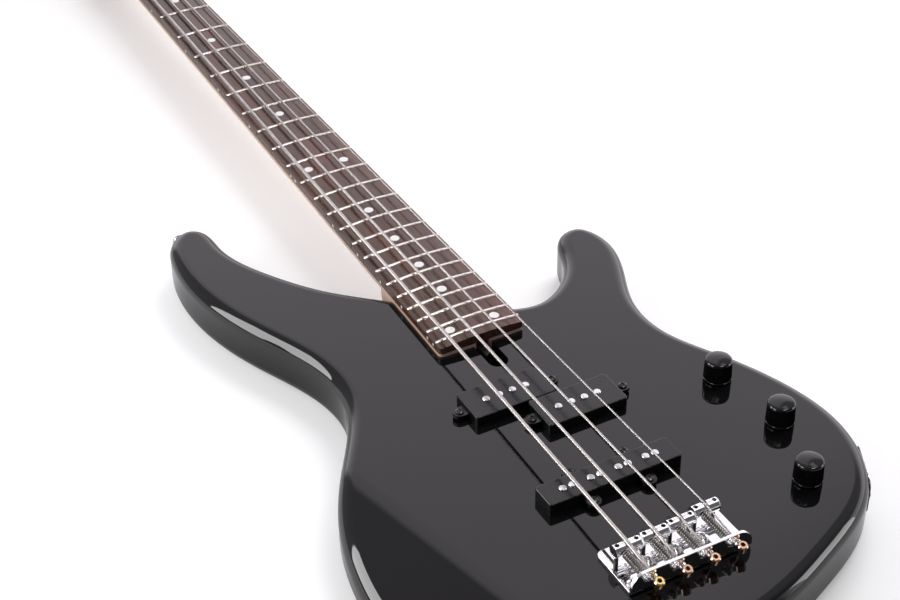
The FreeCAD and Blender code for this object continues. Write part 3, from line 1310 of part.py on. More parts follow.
def gear_wheel(x, y):
    pitch_radius = gear_pitch_radius()
    root = pitch_radius - GEAR_ROOT
    low = gear_z() - GEAR_THICKNESS / 2
    wheel = rod(Vector(x, y, low), Z_AXIS, root, GEAR_THICKNESS)
    profile = tooth_profile(root - FIT, pitch_radius + GEAR_MODULE, GEAR_TOOTH_WIDTH)
    corners = [Vector(across, outward, 0) for across, outward in profile]
    tooth = Part.Face(Part.makePolygon(corners + corners[:1])).extrude(Z_AXIS * GEAR_THICKNESS)
    teeth = []
    for k in range(GEAR_TEETH):
        copy = tooth.copy()
        copy.rotate(Vector(0, 0, 0), Z_AXIS, 360 * k / GEAR_TEETH)
        copy.translate(Vector(x, y, low))
        teeth.append(copy)
    return wheel.fuse(teeth)


def tuner_post(x, y):
    low = gear_z() - GEAR_THICKNESS / 2
    base = Vector(x, y, HEAD_TOP_Z)
    step = POST_RADIUS - POST_WAIST_RADIUS
    profile = [(0, low - HEAD_TOP_Z), (POST_RADIUS, low - HEAD_TOP_Z), (POST_RADIUS, POST_WAIST_LOW)]
    profile += [(POST_WAIST_RADIUS, POST_WAIST_LOW + step), (POST_WAIST_RADIUS, POST_WAIST_HIGH)]
    profile += [(POST_RADIUS, POST_WAIST_HIGH + step), (POST_RADIUS, POST_RISE), (0, POST_RISE)]
    shape = turned(profile, base, Z_AXIS).fuse(gear_wheel(x, y))
    half = POST_SLOT_WIDTH / 2
    top = HEAD_TOP_Z + POST_RISE
    reach = POST_RADIUS + OVERRUN
    low = Vector(x - half, y - reach, top - POST_SLOT_DEPTH)
    return shape.cut(box(low, Vector(x + half, y + reach, top + OVERRUN)))


def worm(spot):
    # Single start right hand thread on the key shaft, along X.
    lead = math.pi * GEAR_MODULE
    length = lead * WORM_TURNS
    start = spot - X_AXIS * (length / 2)
    root = WORM_PITCH_RADIUS - GEAR_ROOT
    helix = Part.makeHelix(lead, length, WORM_PITCH_RADIUS)
    profile = tooth_profile(root - FIT, WORM_PITCH_RADIUS + GEAR_MODULE, GEAR_TOOTH_WIDTH)
    corners = [Vector(outward, 0, across) for across, outward in profile]
    thread = Part.Wire([helix]).makePipeShell([Part.makePolygon(corners + corners[:1])], True, True)
    thread.rotate(Vector(0, 0, 0), Y_AXIS, 90)
    thread.rotate(Vector(0, 0, 0), X_AXIS, 180)
    thread.translate(start)
    return thread.fuse(rod(start - X_AXIS * lead, X_AXIS, root, length + 2 * lead))


def tuner_key(x, y, side):
    spot = worm_spot(x, y)
    out = X_AXIS * side
    lead = math.pi * GEAR_MODULE
    inner = spot + out * (lead * WORM_TURNS / 2 + lead / 2)
    shaft = rod(inner, out, KEY_SHAFT_RADIUS, KEY_SHAFT_REACH)
    tip = inner + out * (KEY_SHAFT_REACH - KEY_COLLAR_LENGTH / 2)
    collar = rod(tip, out, KEY_COLLAR_RADIUS, KEY_COLLAR_LENGTH)
    centre = tip + out * (KEY_COLLAR_LENGTH / 2 + KEY_LENGTH / 2)
    flat = Part.Ellipse(Vector(0, 0, 0), KEY_HALF_HEIGHT, KEY_LENGTH / 2).toShape()
    paddle = Part.Face(Part.Wire([flat])).extrude(Z_AXIS * KEY_THICKNESS)
    paddle = paddle.makeFillet(KEY_EDGE_RADIUS, [e for e in paddle.Edges if e.BoundBox.ZLength < FIT])
    paddle.translate(Vector(0, 0, -KEY_THICKNESS / 2))
    paddle.rotate(Vector(0, 0, 0), Z_AXIS, 90)
    paddle.rotate(Vector(0, 0, 0), X_AXIS, 90)
    paddle.translate(centre)
    return worm(spot).fuse([shaft, collar, paddle])


def housing_inner():
    return gear_pitch_radius() + GEAR_MODULE + HOUSING_ROOM


def tuner_screw_spots():
    spots = []
    reach = housing_inner() + HOUSING_WALL + HOUSING_LUG / 2
    for x, y, side in tuner_spots():
        for way in (-1, 1):
            spots.append(Vector(x - side * reach, y + way * HOUSING_SCREW_SPREAD, HEAD_BACK_Z))
    return spots


def tuner_housing(x, y, side):
    # Cast box under the headstock round the worm and wheel, with a lug for its screws.
    inner = housing_inner()
    far = gear_pitch_radius() + 2 * WORM_PITCH_RADIUS + GEAR_MODULE + HOUSING_ROOM
    low = HEAD_BACK_Z - HOUSING_HEIGHT
    wall = HOUSING_WALL
    middle = Vector(x, y + (far - inner) / 2, low)
    outside = rectangle(middle, 2 * inner + 2 * wall, far + inner + 2 * wall, HOUSING_CORNER_RADIUS)
    shell = prism(outside, HOUSING_HEIGHT)
    length = HOUSING_LUG + 2 * HOUSING_CORNER_RADIUS
    centre = Vector(x - side * (inner + wall + HOUSING_LUG - length / 2), y, HEAD_BACK_Z - wall)
    lug = rectangle(centre, length, 2 * inner, HOUSING_CORNER_RADIUS)
    shell = shell.fuse(prism(lug, wall))
    inside = rectangle(middle + Z_AXIS * wall, 2 * inner, far + inner, HOUSING_CORNER_RADIUS - wall)
    room = prism(inside, HOUSING_HEIGHT - 2 * wall)
    spot = worm_spot(x, y)
    cuts = [room, rod(Vector(x, y, gear_z()), Z_AXIS, POST_RADIUS + RUNNING_FIT, HOUSING_HEIGHT)]
    cuts.append(rod(spot, X_AXIS * side, KEY_SHAFT_RADIUS + RUNNING_FIT, inner + 2 * wall))
    for place in tuner_screw_spots():
        cuts.append(rod(place - Z_AXIS * (wall + OVERRUN), Z_AXIS, SCREW_RADIUS + FIT, wall + 2 * OVERRUN))
    return shell.cut(cuts)


def tuner_bushing(x, y):
    bore = POST_RADIUS + RUNNING_FIT
    low = FIT - HEAD_THICKNESS
    high = BUSHING_FLANGE_HEIGHT
    profile = [(bore, low), (BUSHING_RADIUS, low), (BUSHING_RADIUS, 0)]
    profile += [(BUSHING_FLANGE_RADIUS, 0), (BUSHING_FLANGE_RADIUS, high), (bore, high)]
    return turned(profile, Vector(x, y, HEAD_TOP_Z), Z_AXIS)


os.makedirs("parts", exist_ok=True)

save("body", [body()])
save("neck", [neck()])
blank = board_blank()
save("fingerboard", [fingerboard(blank)])
save("frets", [fret(number) for number in range(1, FRET_COUNT + 1)])
save("position_markers", [marker_rod(spot, 0).common(blank) for spot in marker_spots()])
save("side_markers", [side_rod(y, 0).common(blank) for y in side_spots()])
save("string_nut", [string_nut()])
save("truss_rod", [truss_rod()])
save("truss_rod_nut", [truss_nut()])
save("neck_plate", [neck_plate()])
neck_screw = (NECK_SCREW_RADIUS, NECK_SCREW_LENGTH, NECK_SCREW_HEAD_RADIUS)
save("neck_screws", [sunk_screw(spot, Z_AXIS * -1, *neck_screw) for spot in neck_screw_spots()])
save("strap_buttons", [strap_button(seat, out) for seat, out in strap_seats()])

save("bridge_plate", [bridge_plate()])
save("mounting_screws", mounting_screws())
for index, name in enumerate(STRING_NAMES):
    save("saddle_" + name, [saddle(index)])
    save("saddle_height_screws_" + name, grub_screws(index))
    save("intonation_screw_" + name, [intonation_screw(index)])
    save("string_" + name, [string(index)])
save("intonation_springs", [spring(index) for index in range(len(STRING_NAMES))])
save("ball_ends", [ball_end(index) for index in range(len(STRING_NAMES))])

covers = []
poles = []
coils = []
for centre in split_centres():
    ears = [(s, SPLIT_EAR_RADIUS) for s in split_ear_spots(centre)]
    rods = split_poles(centre)
    covers.append(pickup_cover(centre, SPLIT_LENGTH, SPLIT_WIDTH, SPLIT_RISE, ears, rods))
    poles += [pole(s, SPLIT_RISE) for s in rods]
    coils.append(coil(centre, rods, SPLIT_RISE))
ears = [(s, BAR_EAR_RADIUS) for s in bar_ear_spots()]
covers.append(pickup_cover(bar_centre(), BAR_LENGTH, BAR_WIDTH, BAR_RISE, ears, bar_poles()))
poles += [pole(s, BAR_RISE) for s in bar_poles()]
coils.append(coil(bar_centre(), bar_poles(), BAR_RISE))
save("split_pickup_covers", covers[:2])
save("bar_pickup_cover", covers[2:])
save("pickup_poles", poles)
save("pickup_coils", coils)

for number, (x, y) in enumerate(KNOB_SPOTS, 1):
    save("knob_%d" % number, [knob(x, y)])
    save("knob_%d_shaft" % number, [pot_shaft(x, y)])
save("potentiometers", [pot(x, y) for x, y in KNOB_SPOTS])
save("bush_nuts", bush_nuts())
save("control_cover", [control_cover()])
cover_screw = (SCREW_RADIUS, SCREW_LENGTH, SCREW_HEAD_RADIUS)
save("control_cover_screws", [sunk_screw(spot, Z_AXIS * -1, *cover_screw) for spot in cover_screw_spots()])
save("jack_plate", [jack_plate()])
save("output_jack", [output_jack()])
save("control_wiring", wiring())
save("small_screws", small_screws())

for name, (x, y, side) in zip(STRING_NAMES, tuner_spots()):
    save("tuner_post_" + name, [tuner_post(x, y)])
    save("tuner_key_" + name, [tuner_key(x, y, side)])
save("tuner_housings", [tuner_housing(x, y, side) for x, y, side in tuner_spots()])
save("tuner_bushings", [tuner_bushing(x, y) for x, y, side in tuner_spots()])
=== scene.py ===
import math
import bpy
import numpy as np
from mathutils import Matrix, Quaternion, Vector


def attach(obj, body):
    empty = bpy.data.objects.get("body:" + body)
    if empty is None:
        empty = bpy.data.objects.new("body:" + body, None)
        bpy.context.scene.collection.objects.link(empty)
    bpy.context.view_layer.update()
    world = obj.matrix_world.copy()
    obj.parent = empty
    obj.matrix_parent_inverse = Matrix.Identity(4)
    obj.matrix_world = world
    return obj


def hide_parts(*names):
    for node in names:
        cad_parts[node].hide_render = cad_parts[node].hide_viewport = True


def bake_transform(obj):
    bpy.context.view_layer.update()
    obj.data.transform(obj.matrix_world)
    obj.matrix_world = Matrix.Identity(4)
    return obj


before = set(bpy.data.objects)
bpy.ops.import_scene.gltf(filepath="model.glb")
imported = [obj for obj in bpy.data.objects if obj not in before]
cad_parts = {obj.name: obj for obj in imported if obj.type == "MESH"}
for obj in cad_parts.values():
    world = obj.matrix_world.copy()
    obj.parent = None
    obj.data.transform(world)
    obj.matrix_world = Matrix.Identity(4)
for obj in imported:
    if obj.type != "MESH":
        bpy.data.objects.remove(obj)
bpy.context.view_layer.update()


# Studio
# A white table top in front of a broad white wall that curves round the treble side and ends at half height.
# The rest of the room is dim. Two soft boxes light the dull pieces only; the other five show only
# in reflections, as the streaks on the lacquer and the white on the chrome.

TABLE_SIZE = 12.0
TABLE_SPOT = (0.0, 0.2, -0.0006)
TABLE_GLOW = (0.06, 0.33)
WHITE = (1.0, 1.0, 1.0, 1.0)
WALL_TINT = (1.0, 0.95, 1.02, 1.0)
WALL_HEADING = (0.82, 0.57, 0.0)
WALL_EDGE = (0.26, 0.42)
WALL_TOP_HEADING = (0.8, 0.0, 1.0)
WALL_TOP = (1.16, 1.05)
WALL_GLOW = (1.6, 0.7)
WALL_GLOW_HEIGHT = 0.7
CEILING = (0.81, 0.92)
ROOM_GLOW = (0.45, 0.4)
FRONT = (-0.5, 0.1)
FRONT_SHARE = (0.25, 1.0)
BRIDGE_SIDE = (0.1, 0.03, 0.04)
SOFT_BOXES = (
    ("bass side box", (-0.62, 0.52, 0.33), (0.0, 0.3, 0.05), 0.26, 0.5, 3.2, "visible_diffuse"),
    ("overhead box", (0.8, 0.55, 1.3), (0.0, 0.3, 0.0), 0.9, 0.9, 14.0, "visible_glossy"),
    ("bass side fill", (-0.62, 0.36, 0.32), (-0.15, 0.36, 0.0), 0.35, 0.6, 2.8, "visible_glossy"),
    ("left glint box", (-0.85, 0.09, 0.5), BRIDGE_SIDE, 0.45, 0.25, 5.0, "visible_diffuse"),
    ("right glint box", (0.3, -0.55, 1.6), BRIDGE_SIDE, 0.5, 0.3, 6.6, "visible_diffuse"),
    ("treble side box", (1.13, -0.46, 0.30), BRIDGE_SIDE, 0.36, 0.55, 2.3, "visible_diffuse"),
    ("bridge light", (0.72, 0.02, 1.42), BRIDGE_SIDE, 1.05, 0.28, 1.1, "visible_diffuse"),
)
CAMERA_SPOT = (-0.44804, -0.59949, 0.75221)
CAMERA_HEADING = Vector((0.37501, 0.71329, -0.59211))
CAMERA_ROLL = math.radians(-1.13)
CAMERA_LENS = 72.185


def node(tree, kind, **given):
    """Adds a shader node. Small names are its settings, capital names its sockets (In0 by number)."""
    made = tree.nodes.new("ShaderNode" + kind)
    for name, value in given.items():
        if name[0].islower():
            setattr(made, name, value)
            continue
        socket = made.inputs[int(name[2:])] if name[2:].isdigit() else made.inputs[name.replace("_", " ")]
        if isinstance(value, bpy.types.NodeSocket):
            tree.links.new(value, socket)
        else:
            socket.default_value = value
    return made


def link(tree, output, shader, socket):
    tree.links.new(output, shader.inputs[socket])


def ramp(tree, value, *stops):
    """A colour band from (place, colour) stops, read at value."""
    made = node(tree, "ValToRGB", Fac=value)
    band = made.color_ramp.elements
    while len(band) < len(stops):
        band.new(1.0)
    for element, (place, colour) in zip(band, stops):
        element.position = place
        element.color = (*colour, 1.0)
    return made.outputs["Color"]


def spread(tree, value, low, high):
    """A value from 0 to 1 laid out between low and high."""
    return node(tree, "MapRange", Value=value, To_Min=low, To_Max=high).outputs["Result"]


def fade(tree, value, ends, levels=(0.0, 1.0)):
    """A soft change from one level to the other while value goes from end to end."""
    made = node(tree, "MapRange", interpolation_type="SMOOTHSTEP", Value=value, From_Min=ends[0],
                From_Max=ends[1], To_Min=levels[0], To_Max=levels[1])
    return made.outputs["Result"]


def combined(tree, operation, first, second):
    return node(tree, "Math", operation=operation, In0=first, In1=second).outputs[0]


def shared(tree, heading, other):
    """How far two headings agree."""
    return node(tree, "VectorMath", operation="DOT_PRODUCT", In0=heading, In1=other).outputs["Value"]


def speckle(tree, scale, detail, distortion=0.0):
    place = node(tree, "TexCoord").outputs["Object"]
    made = node(tree, "TexNoise", Vector=place, Scale=scale, Detail=detail, Distortion=distortion)
    return made.outputs["Fac"]


def material(name):
    made = bpy.data.materials.new(name)
    made.use_nodes = True
    return made, made.node_tree, made.node_tree.nodes["Principled BSDF"]


scene = bpy.context.scene
scene.view_settings.view_transform = "Standard"

bpy.ops.object.select_all(action="DESELECT")
bpy.ops.mesh.primitive_plane_add(size=TABLE_SIZE, location=TABLE_SPOT)
floor = bpy.context.object
floor.name = "table_top"
paper, tree, shader = material("white table")
tint = ramp(tree, speckle(tree, 2.0, 3.0), (0.3, (0.74, 0.74, 0.74)), (0.7, (0.76, 0.76, 0.76)))
link(tree, tint, shader, "Base Color")
shader.inputs["Roughness"].default_value = 0.8
shader.inputs["Specular IOR Level"].default_value = 0.1
shader.inputs["Emission Color"].default_value = WHITE
seen = node(tree, "LightPath").outputs["Is Camera Ray"]
link(tree, spread(tree, seen, *TABLE_GLOW), shader, "Emission Strength")
floor.data.materials.append(paper)

world = bpy.data.worlds.new("studio walls")
scene.world = world
world.use_nodes = True
tree = world.node_tree
heading = node(tree, "TexCoord").outputs["Generated"]
axes = node(tree, "SeparateXYZ", Vector=heading).outputs
side = fade(tree, shared(tree, heading, WALL_HEADING), WALL_EDGE)
top = fade(tree, shared(tree, heading, WALL_TOP_HEADING), WALL_TOP)
shine = node(tree, "MapRange", Value=axes["Z"], From_Max=WALL_GLOW_HEIGHT, To_Min=WALL_GLOW[0],
             To_Max=WALL_GLOW[1]).outputs["Result"]
wall = combined(tree, "MULTIPLY", combined(tree, "MULTIPLY", side, top), shine)
room = fade(tree, axes["Z"], CEILING, ROOM_GLOW)
room = combined(tree, "MULTIPLY", room, fade(tree, axes["Y"], FRONT, FRONT_SHARE))
light = combined(tree, "ADD", wall, room)
glow = node(tree, "Background", Color=WALL_TINT, Strength=light)
plain = node(tree, "Background", Color=WHITE, Strength=1.0)
seen = node(tree, "LightPath").outputs["Is Camera Ray"]
both = node(tree, "MixShader", Fac=seen, In1=glow.outputs[0], In2=plain.outputs[0])
tree.links.new(both.outputs[0], tree.nodes["World Output"].inputs["Surface"])

for name, spot, aim, width, height, watts, unseen in SOFT_BOXES:
    bpy.ops.object.light_add(type="AREA", location=spot)
    lamp = bpy.context.object
    lamp.name = name
    lamp.data.shape = "RECTANGLE"
    lamp.data.size = width
    lamp.data.size_y = height
    lamp.data.energy = watts
    lamp.rotation_euler = (Vector(aim) - Vector(spot)).to_track_quat("-Z", "Y").to_euler()
    setattr(lamp, unseen, False)

bpy.ops.object.camera_add(location=CAMERA_SPOT)
camera = bpy.context.object
look = CAMERA_HEADING.to_track_quat("-Z", "Y")
camera.rotation_euler = (look @ Quaternion((0.0, 0.0, 1.0), CAMERA_ROLL)).to_euler()
camera.data.sensor_width = 36.0
camera.data.lens = CAMERA_LENS
camera.data.clip_start = 0.01
scene.camera = camera


# Body
# A slab of wood under a deep coat of black polyester lacquer, sanded level and buffed to a mirror.
# Its face slopes away under the player's arm. It is cut for the neck, the truss rod's channel and the plates,
# and only the faintest waviness, wipe marks and hairlines show in its reflections.

BODY_HALF_WIDTH = 0.160
BODY_LENGTH = 0.507
BODY_TAIL = 0.076
BODY_THICKNESS = 0.038
BODY_EDGE = 0.0096
BODY_EDGE_STEPS = 9
BODY_OUTLINE = (
    (-0.201, 0.719), (-0.383, 0.776), (-0.543, 0.851), (-0.642, 0.940), (-0.682, 0.993), (-0.737, 1.000),
    (-0.820, 0.986), (-0.871, 0.946), (-0.885, 0.878), (-0.785, 0.743), (-0.657, 0.641), (-0.638, 0.553),
    (-0.731, 0.486), (-0.904, 0.396), (-0.996, 0.298), (-1.000, 0.196), (-0.853, 0.082), (-0.556, 0.022),
    (-0.190, 0.000), (0.170, 0.010), (0.513, 0.050), (0.818, 0.109), (0.971, 0.219), (0.928, 0.320),
    (0.813, 0.406), (0.709, 0.480), (0.720, 0.558), (0.829, 0.640), (0.852, 0.700), (0.778, 0.736),
    (0.701, 0.734), (0.617, 0.688), (0.486, 0.632), (0.345, 0.611), (0.129, 0.637), (-0.062, 0.679),
)
OUTLINE_STEPS = 14
ARM_RIDGE = Vector((-0.098, 0.0, 0.0))
ARM_LEAN = math.radians(13.4)
ARM_SLOPE = math.tan(math.radians(15.0))
ARM_SOFT = 0.006
ARM_CUTS = 3
ARC_STEPS = 8
HEEL_HALF_WIDTH = 0.0295
HEEL_ENDS = (0.2090, 0.2660)
HEEL_HEIGHT = 0.030
POCKET = ((-0.0313, 0.2084), (0.0313, 0.2084), (0.0291, 0.330), (-0.0291, 0.330))
POCKET_FLOOR = 0.022
POCKET_CORNER = 0.0041
POCKET_CORNERS_END = 0.3
TRENCH_RADIUS = 0.00675
TRENCH_STEPS = 24
TRENCH_END = 0.18875
TRENCH_MOUTH = 0.2105
TRENCH_FLOOR = 0.0275
ABOVE_TOP = 0.060
PLATE_HALF_WIDTH = 0.0261
PLATE_ENDS = (0.2124, 0.2626)
SEAT_CORNER = 0.005
COVER = (
    (0.084, -0.016936), (0.12, -0.016936), (0.13752, 0.05151), (0.12904, 0.122999), (0.09304, 0.122999),
)
COVER_CORNER = 0.010
SEAT_DEPTH = 0.0021
BELOW_BACK = -0.01
JACK_HALF_LENGTH = 0.0191
JACK_HALF_HEIGHT = 0.0121
JACK_SPOT = Vector((0.145536, 0.001672, 0.019))
JACK_TURN = math.radians(-26.6)
JACK_DEPTH = 0.0016
JACK_REACH = 0.038
STRAP_SPOTS = ((-0.118, 0.4394, 0.019), (0.0, -0.0844, 0.019))
STRAP_RADIUS = 0.0081
STRAP_LENGTH = 0.02


def closed_curve(points, steps):
    """A smooth closed line through the points, bent like a spring batten, in equal steps per stretch."""
    spots = np.array(points)
    following = np.roll(spots, -1, axis=0)
    runs = np.linalg.norm(following - spots, axis=1)
    before = np.roll(runs, 1)
    pull = np.diag(2 * (before + runs))
    for k in range(len(spots)):
        pull[k][k - 1] += before[k]
        pull[k][(k + 1) % len(spots)] += runs[k]
    climb = (following - spots) / runs[:, None]
    bend = np.linalg.solve(pull, 6 * (climb - np.roll(climb, 1, axis=0)))
    after = np.roll(bend, -1, axis=0)
    line = []
    for k in range(len(spots)):
        for t in np.arange(steps) / steps:
            s = 1 - t
            sag = ((s ** 3 - s) * bend[k] + (t ** 3 - t) * after[k]) * runs[k] ** 2 / 6
            line.append(s * spots[k] + t * following[k] + sag)
    return line


def rectangle(half, low, high):
    return ((-half, low), (half, low), (half, high), (-half, high))


def rounded(corners, radius):
    """The outline with these corners, counted against the clock, each turned on the same radius."""
    spots = [Vector(corner) for corner in corners]
    line = []
    for before, spot, after in zip(spots[-1:] + spots, spots, spots[1:] + spots[:1]):
        back = (before - spot).normalized()
        on = (after - spot).normalized()
        half = back.angle(on) / 2
        middle = spot + (back + on).normalized() * (radius / math.sin(half))
        for k in range(ARC_STEPS + 1):
            angle = math.atan2(back.x, -back.y) + (math.pi - 2 * half) * k / ARC_STEPS
            line.append(middle + radius * Vector((math.cos(angle), math.sin(angle))))
    return line


def blank(name, outline, low, high):
    """An upright block with the given outline, selected in edit mode."""
    mesh = bpy.data.meshes.new(name)
    mesh.from_pydata([(x, y, low) for x, y in outline], [], [range(len(outline))])
    made = bpy.data.objects.new(name, mesh)
    scene.collection.objects.link(made)
    bpy.ops.object.select_all(action="DESELECT")
    made.select_set(True)
    bpy.context.view_layer.objects.active = made
    bpy.ops.object.mode_set(mode="EDIT")
    bpy.ops.mesh.select_all(action="SELECT")
    bpy.ops.mesh.extrude_region_move(TRANSFORM_OT_translate={"value": (0.0, 0.0, high - low)})
    bpy.ops.mesh.select_all(action="SELECT")
    bpy.ops.mesh.normals_make_consistent(inside=False)
    return made


def pick_edges(made, wanted):
    bpy.ops.mesh.select_mode(type="EDGE")
    bpy.ops.mesh.select_all(action="DESELECT")
    bpy.ops.object.mode_set(mode="OBJECT")
    spots = made.data.vertices
    for edge in made.data.edges:
        edge.select = wanted(*[spots[k].co for k in edge.vertices])
    bpy.ops.object.mode_set(mode="EDIT")


def level(a, b):
    return abs(a.z - b.z) < 1e-6


def pocket_corner(a, b):
    return not level(a, b) and a.y < POCKET_CORNERS_END


def carve(made, cutter, way="DIFFERENCE"):
    bpy.ops.object.mode_set(mode="OBJECT")
    bpy.ops.object.select_all(action="DESELECT")
    made.select_set(True)
    bpy.context.view_layer.objects.active = made
    cut = made.modifiers.new("cut", "BOOLEAN")
    cut.operation = way
    cut.solver = "EXACT"
    cut.object = cutter
    bpy.ops.object.modifier_apply(modifier="cut")
    bpy.data.objects.remove(cutter)


outline = [(a * BODY_HALF_WIDTH, b * BODY_LENGTH - BODY_TAIL) for a, b in BODY_OUTLINE]
slab = blank("body_lacquered", closed_curve(outline, OUTLINE_STEPS), 0.0, BODY_THICKNESS)
pick_edges(slab, level)
bpy.ops.mesh.bevel(offset=BODY_EDGE, segments=BODY_EDGE_STEPS, profile=0.5, affect="EDGES")
across = Vector((-math.cos(ARM_LEAN), -math.sin(ARM_LEAN), 0.0))
for k in range(-ARM_CUTS, ARM_CUTS + 1):
    bpy.ops.mesh.select_all(action="SELECT")
    bpy.ops.mesh.bisect(plane_co=ARM_RIDGE + across * (ARM_SOFT * k / ARM_CUTS), plane_no=across)
bpy.ops.object.mode_set(mode="OBJECT")
for vertex in slab.data.vertices:
    beyond = (vertex.co - ARM_RIDGE).dot(across)
    if vertex.co.z > BODY_THICKNESS / 2 and beyond > -ARM_SOFT:
        soft = min(beyond + ARM_SOFT, 2 * ARM_SOFT)
        vertex.co.z -= ARM_SLOPE * (soft * soft / (4 * ARM_SOFT) + max(beyond - ARM_SOFT, 0.0))

heel = rounded(rectangle(HEEL_HALF_WIDTH, *HEEL_ENDS), SEAT_CORNER)
carve(slab, blank("heel block", heel, 0.0, HEEL_HEIGHT), "UNION")
pocket = blank("pocket", POCKET, POCKET_FLOOR, ABOVE_TOP)
pick_edges(pocket, pocket_corner)
bpy.ops.mesh.bevel(offset=POCKET_CORNER, segments=6, affect="EDGES")
carve(slab, pocket)
arc = [math.pi * (1 + k / TRENCH_STEPS) for k in range(TRENCH_STEPS + 1)]
trench = [(TRENCH_RADIUS * math.cos(t), TRENCH_END + TRENCH_RADIUS * math.sin(t)) for t in arc]
trench += [(TRENCH_RADIUS, TRENCH_MOUTH), (-TRENCH_RADIUS, TRENCH_MOUTH)]
carve(slab, blank("trench", trench, TRENCH_FLOOR, ABOVE_TOP))
plate_seat = rounded(rectangle(PLATE_HALF_WIDTH, *PLATE_ENDS), SEAT_CORNER)
carve(slab, blank("plate seat", plate_seat, BELOW_BACK, SEAT_DEPTH))
carve(slab, blank("cover seat", rounded(COVER, COVER_CORNER), BELOW_BACK, SEAT_DEPTH))

jack_seat = rounded(rectangle(JACK_HALF_LENGTH, -JACK_HALF_HEIGHT, JACK_HALF_HEIGHT), SEAT_CORNER)
seat = blank("jack seat", jack_seat, 0.0, JACK_REACH)
bpy.ops.object.mode_set(mode="OBJECT")
out = Vector((math.cos(JACK_TURN), math.sin(JACK_TURN), 0.0))
along = Vector((-math.sin(JACK_TURN), math.cos(JACK_TURN), 0.0))
foot = JACK_SPOT - out * JACK_DEPTH
for vertex in seat.data.vertices:
    vertex.co = foot + along * vertex.co.x + Vector((0.0, 0.0, vertex.co.y)) + out * vertex.co.z
carve(slab, seat)
for spot in STRAP_SPOTS:
    bpy.ops.object.select_all(action="DESELECT")
    bpy.ops.mesh.primitive_cylinder_add(vertices=48, radius=STRAP_RADIUS, depth=STRAP_LENGTH, location=spot,
                                        rotation=(math.pi / 2, 0.0, 0.0))
    seat = bpy.context.object
    bpy.ops.object.transform_apply(location=True, rotation=True)
    carve(slab, seat)
bpy.ops.object.shade_smooth_by_angle(angle=math.radians(35.0))
flat = slab.modifiers.new("flat faces rule", "WEIGHTED_NORMAL")
flat.mode = "FACE_AREA"
flat.weight = 80
flat.keep_sharp = True
bpy.ops.object.modifier_apply(modifier="flat faces rule")

marks = bpy.data.node_groups.new("handling marks", "ShaderNodeTree")
for name in ("Smudge", "Hairline", "Dust"):
    marks.interface.new_socket(name, in_out="OUTPUT", socket_type="NodeSocketFloat")
place = node(marks, "TexCoord").outputs["Object"]
turned = node(marks, "Mapping", Vector=place, Rotation=(0.0, 0.0, 0.6), Scale=(60.0, 1800.0, 60.0))
smudge = node(marks, "TexNoise", Vector=place, Scale=35.0, Detail=5.0, Roughness=0.6)
hairs = node(marks, "TexNoise", Vector=turned.outputs[0], Scale=1.0, Detail=2.0)
dust = node(marks, "TexNoise", Vector=place, Scale=900.0, Detail=2.0)
spots = node(marks, "MapRange", Value=dust.outputs["Fac"], From_Min=0.68, From_Max=0.78)
shown = marks.nodes.new("NodeGroupOutput")
marks.links.new(smudge.outputs["Fac"], shown.inputs["Smudge"])
marks.links.new(hairs.outputs["Fac"], shown.inputs["Hairline"])
marks.links.new(spots.outputs["Result"], shown.inputs["Dust"])


def masks(tree, group):
    made = tree.nodes.new("ShaderNodeGroup")
    made.node_tree = group
    return made.outputs


def dusted(name, clean, dusty, smooth, rough):
    """A glossy finish that is a little paler under dust and duller where it was touched."""
    made, tree, shader = material(name)
    wear = masks(tree, marks)
    link(tree, ramp(tree, wear["Dust"], (0.0, clean), (1.0, dusty)), shader, "Base Color")
    link(tree, spread(tree, wear["Smudge"], smooth, rough), shader, "Roughness")
    return made, tree, shader, wear


def relief(tree, height, strength, distance, **under):
    made = node(tree, "Bump", Strength=strength, Distance=distance, Height=height, **under)
    return made.outputs["Normal"]


def dress(finish, *names):
    for name in names:
        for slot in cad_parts[name].material_slots:
            slot.material = finish


lacquer, tree, shader, wear = dusted("black lacquer", (0.004, 0.004, 0.0045), (0.012, 0.012, 0.012),
                                     0.015, 0.05)
wave = relief(tree, speckle(tree, 55.0, 1.0), 0.02, 0.002)
link(tree, relief(tree, wear["Hairline"], 0.01, 0.0002, Normal=wave), shader, "Normal")
shader.inputs["IOR"].default_value = 1.5
slab.data.materials.append(lacquer)
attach(slab, "instrument")
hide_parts("body")
dress(lacquer, "body")


# Neck
# One length of pale maple with the grain along it, carved to a half round behind and left flat at the head.
# It has a thin satin finish, so the pores stay a little open.

wood = bpy.data.node_groups.new("wood grain", "ShaderNodeTree")
for name in ("Figure", "Grain", "Pore"):
    wood.interface.new_socket(name, in_out="OUTPUT", socket_type="NodeSocketFloat")
place = node(wood, "TexCoord").outputs["Object"]
shown = wood.nodes.new("NodeGroupOutput")
for name, stretch, scale, detail in (
    ("Figure", 0.16, 60.0, 4.0),
    ("Grain", 0.035, 420.0, 5.0),
    ("Pore", 0.05, 1100.0, 2.0),
):
    laid = node(wood, "Mapping", Vector=place, Scale=(1.0, stretch, 1.0)).outputs[0]
    streak = node(wood, "TexNoise", Vector=laid, Scale=scale, Detail=detail, Distortion=0.15)
    wood.links.new(streak.outputs["Fac"], shown.inputs[name])


def mixed(tree, amount, first, second, way="MIX"):
    made = node(tree, "Mix", data_type="RGBA", blend_type=way, In0=amount)
    tree.links.new(first, made.inputs[6])
    tree.links.new(second, made.inputs[7])
    return made.outputs[2]


